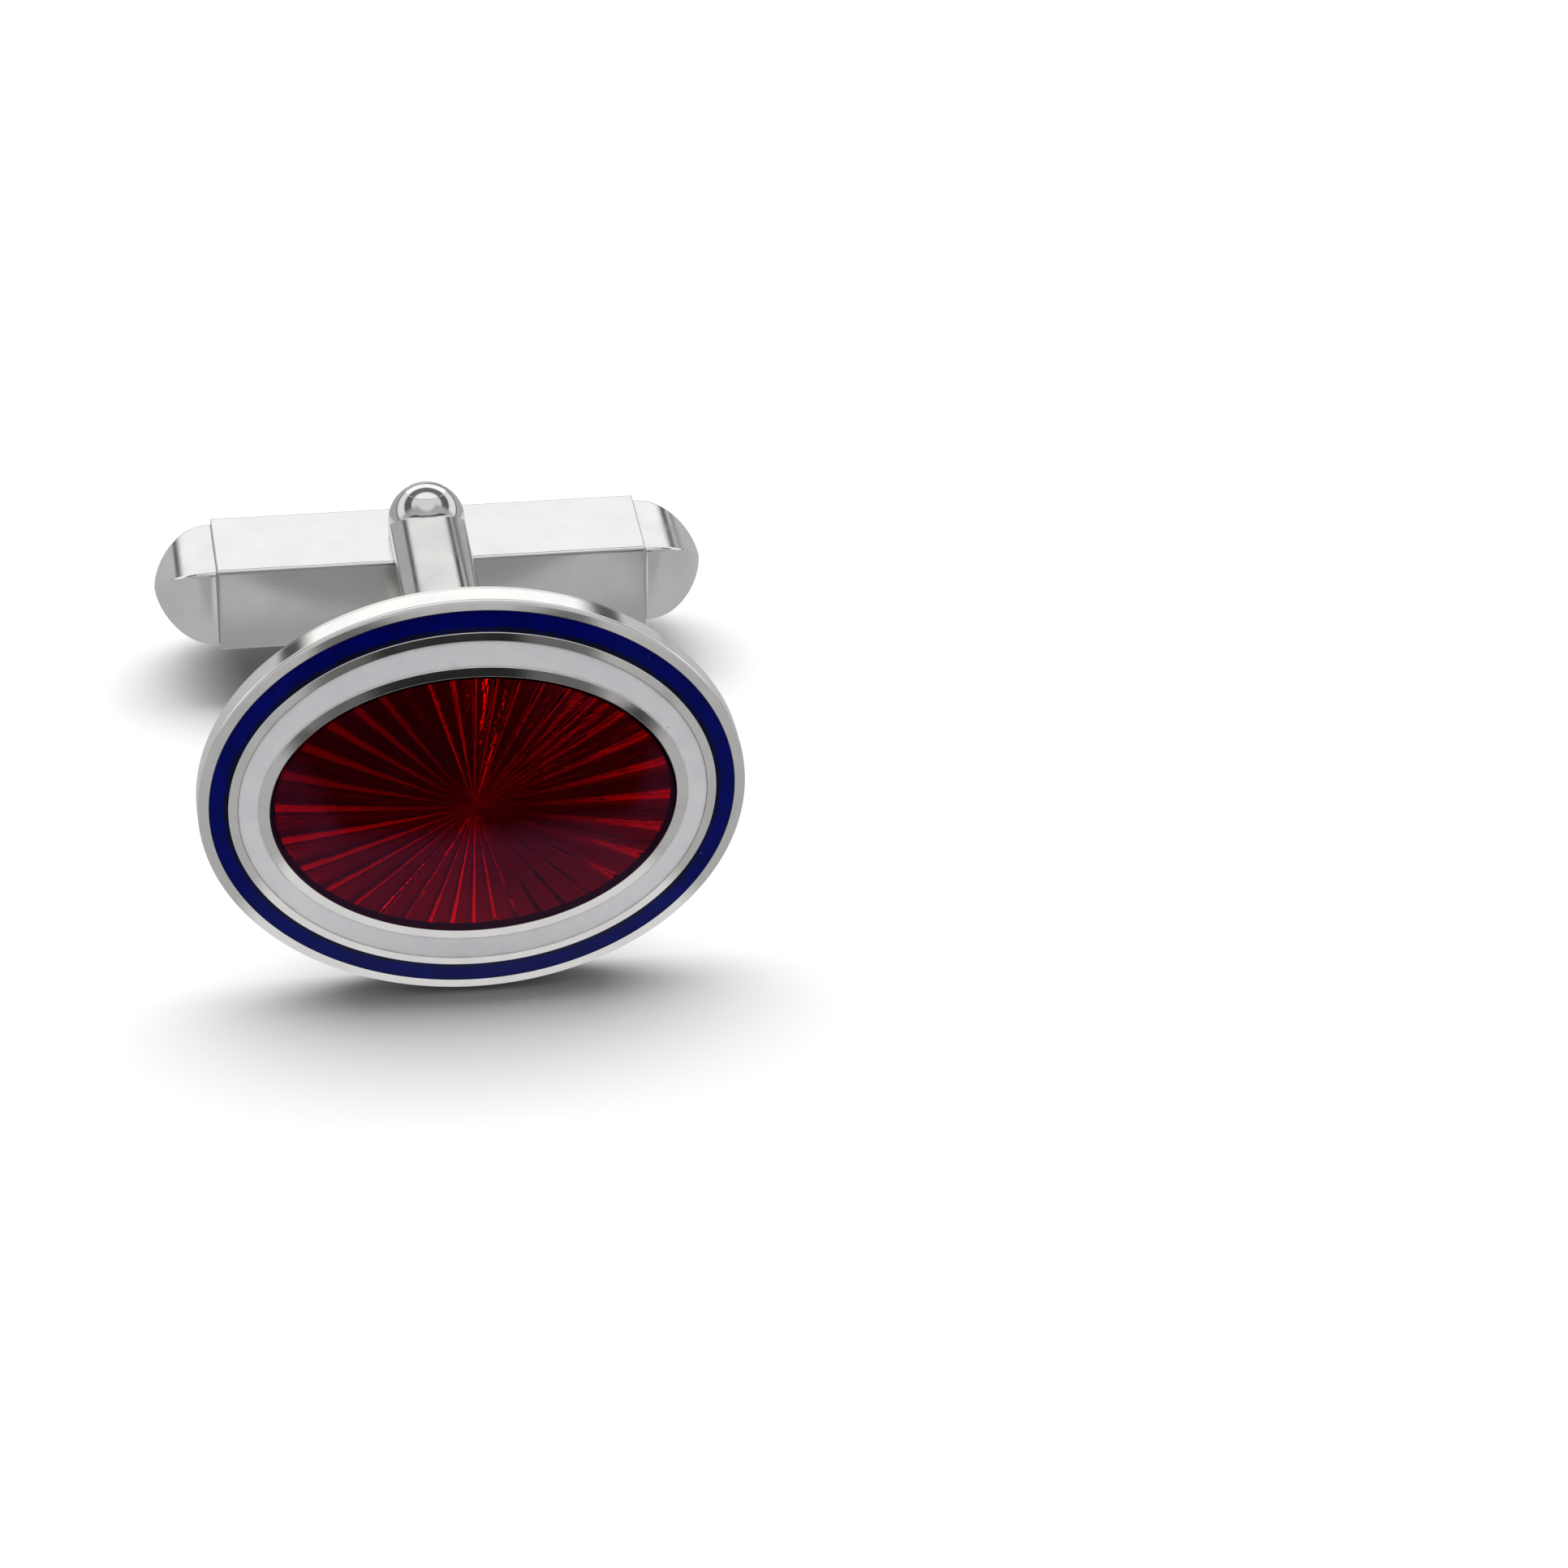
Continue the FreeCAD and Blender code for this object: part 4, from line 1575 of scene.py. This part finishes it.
@dataclass(frozen=True)
class Studio:
    """Pale table, soft light from behind and above, and the camera."""

    table_radius: float = 0.7
    table_turns: int = 96
    table_tones: Span = (0.90, 0.92)
    focal_px: float = 8300.0
    picture_px: float = 1932.0
    sensor_mm: float = 36.0
    clip_start: float = 0.01
    face_px: Half = (582.5, 981.4)
    distance: float = 220.5
    yaw_deg: float = 7.88
    tilt_deg: float = 28.5
    roll_deg: float = 0.24
    glow: TableGlow = TableGlow()
    surroundings: Surroundings = Surroundings()
    rear: Softbox = Softbox("rear_softbox", (2.4, 0.7), (0.0, 0.5, 1.1), 25.0)
    front: Softbox = Softbox("front_softbox", (0.8, 0.5), (-0.1, -0.7, 0.35), 0.6)

    def table_material(self) -> bpy.types.Material:
        """Pale ground that silver and clear enamel see as a painted glow, free of the link's own shadow.

        Returns:
            The material.
        """
        material, bench, shader = started("table_top")
        where = bench.add("ShaderNodeTexCoord").outputs["Object"]
        grain = bench.add("ShaderNodeTexNoise", Scale=60.0, Detail=3.0, Vector=where)
        pale = bench.mixed(grain.outputs[0], *self.table_tones)
        x, y, _ = bench.axes(where)
        path = bench.add("ShaderNodeLightPath").outputs
        glossy = path["Is Glossy Ray"]
        passed = path["Is Transmission Ray"]
        # painted reflection: the table glows for reflected and refracted rays, not for the camera
        glow = bench.mixed(glossy, 0.0, self.glow.mirrored(bench, x, y))
        glow = bench.mixed(passed, glow, self.glow.through(bench, x, y))
        bounced = bench.math("GREATER_THAN", path["Diffuse Depth"], 0.5)
        bench.put(shader, Base_Color=bench.mixed(bench.math("MAXIMUM", glossy, passed), pale, 0.0),
                  Emission_Color=bench.mixed(bounced, glow, 0.0), Emission_Strength=1.0, Roughness=0.7,
                  Specular_IOR_Level=0.1)
        return material

    def build_table(self) -> None:
        """Lay the round table top."""
        bm = bmesh.new()
        bmesh.ops.create_circle(bm, cap_ends=True, radius=self.table_radius, segments=self.table_turns)
        mesh = bpy.data.meshes.new("table")
        bm.to_mesh(mesh)
        bm.free()
        mesh.materials.append(self.table_material())
        table = bpy.data.objects.new("table", mesh)
        bpy.context.collection.objects.link(table)

    def build_light(self) -> None:
        """Set the surroundings, a broad lamp behind and a weak one in front for the link alone."""
        self.surroundings.build()
        self.rear.build()
        front = self.front.build()
        front.visible_transmission = False
        lit = bpy.data.collections.new("lit_from_front")
        for piece in bpy.context.scene.objects:
            if piece.type == "MESH" and piece.name != "table":
                lit.objects.link(piece)
        front.light_linking.receiver_collection = lit

    def build_camera(self) -> None:
        """Stand the camera where the photograph was taken from."""
        flip = Matrix.Diagonal((1.0, -1.0, -1.0))
        roll, tilt, yaw = (Matrix.Rotation(math.radians(degrees), 3, axis) for degrees, axis in (
            (self.roll_deg, "Z"), (self.tilt_deg, "X"), (self.yaw_deg, "Y")))
        turn = roll @ tilt @ flip @ yaw
        middle = self.picture_px / 2
        offset = Vector(((self.face_px[0] - middle) * self.distance / self.focal_px,
                         (self.face_px[1] - middle) * self.distance / self.focal_px, self.distance))
        upright = Matrix(((1.0, 0.0, 0.0), (0.0, 0.0, -1.0), (0.0, 1.0, 0.0)))
        place = upright @ (-(turn.transposed() @ offset))
        axes = upright @ turn.transposed() @ flip
        camera = bpy.data.cameras.new("camera")
        camera.sensor_fit = "HORIZONTAL"
        camera.sensor_width = self.sensor_mm
        camera.lens = self.focal_px * self.sensor_mm / self.picture_px
        camera.clip_start = self.clip_start
        item = bpy.data.objects.new("camera", camera)
        stand = PLACE.to_3x3().normalized()
        item.matrix_world = Matrix.Translation(PLACE @ place) @ (stand @ axes).to_4x4()
        bpy.context.collection.objects.link(item)
        bpy.context.scene.camera = item

    def build(self) -> None:
        """Build the table, light and camera."""
        self.build_table()
        self.build_light()
        self.build_camera()
        view = bpy.context.scene.view_settings
        view.view_transform = "Standard"
        view.look = "None"


def main() -> None:
    """Build and dress the link, then the studio."""
    logging.basicConfig(level=logging.INFO, format="%(name)s: %(message)s")
    finishes = {finish.name: finish.material() for finish in FINISHES}
    Face().build(finishes)
    Stirrup().build(finishes)
    Bar().build(finishes)
    Studio().build()


if __name__ == "__main__":
    main()
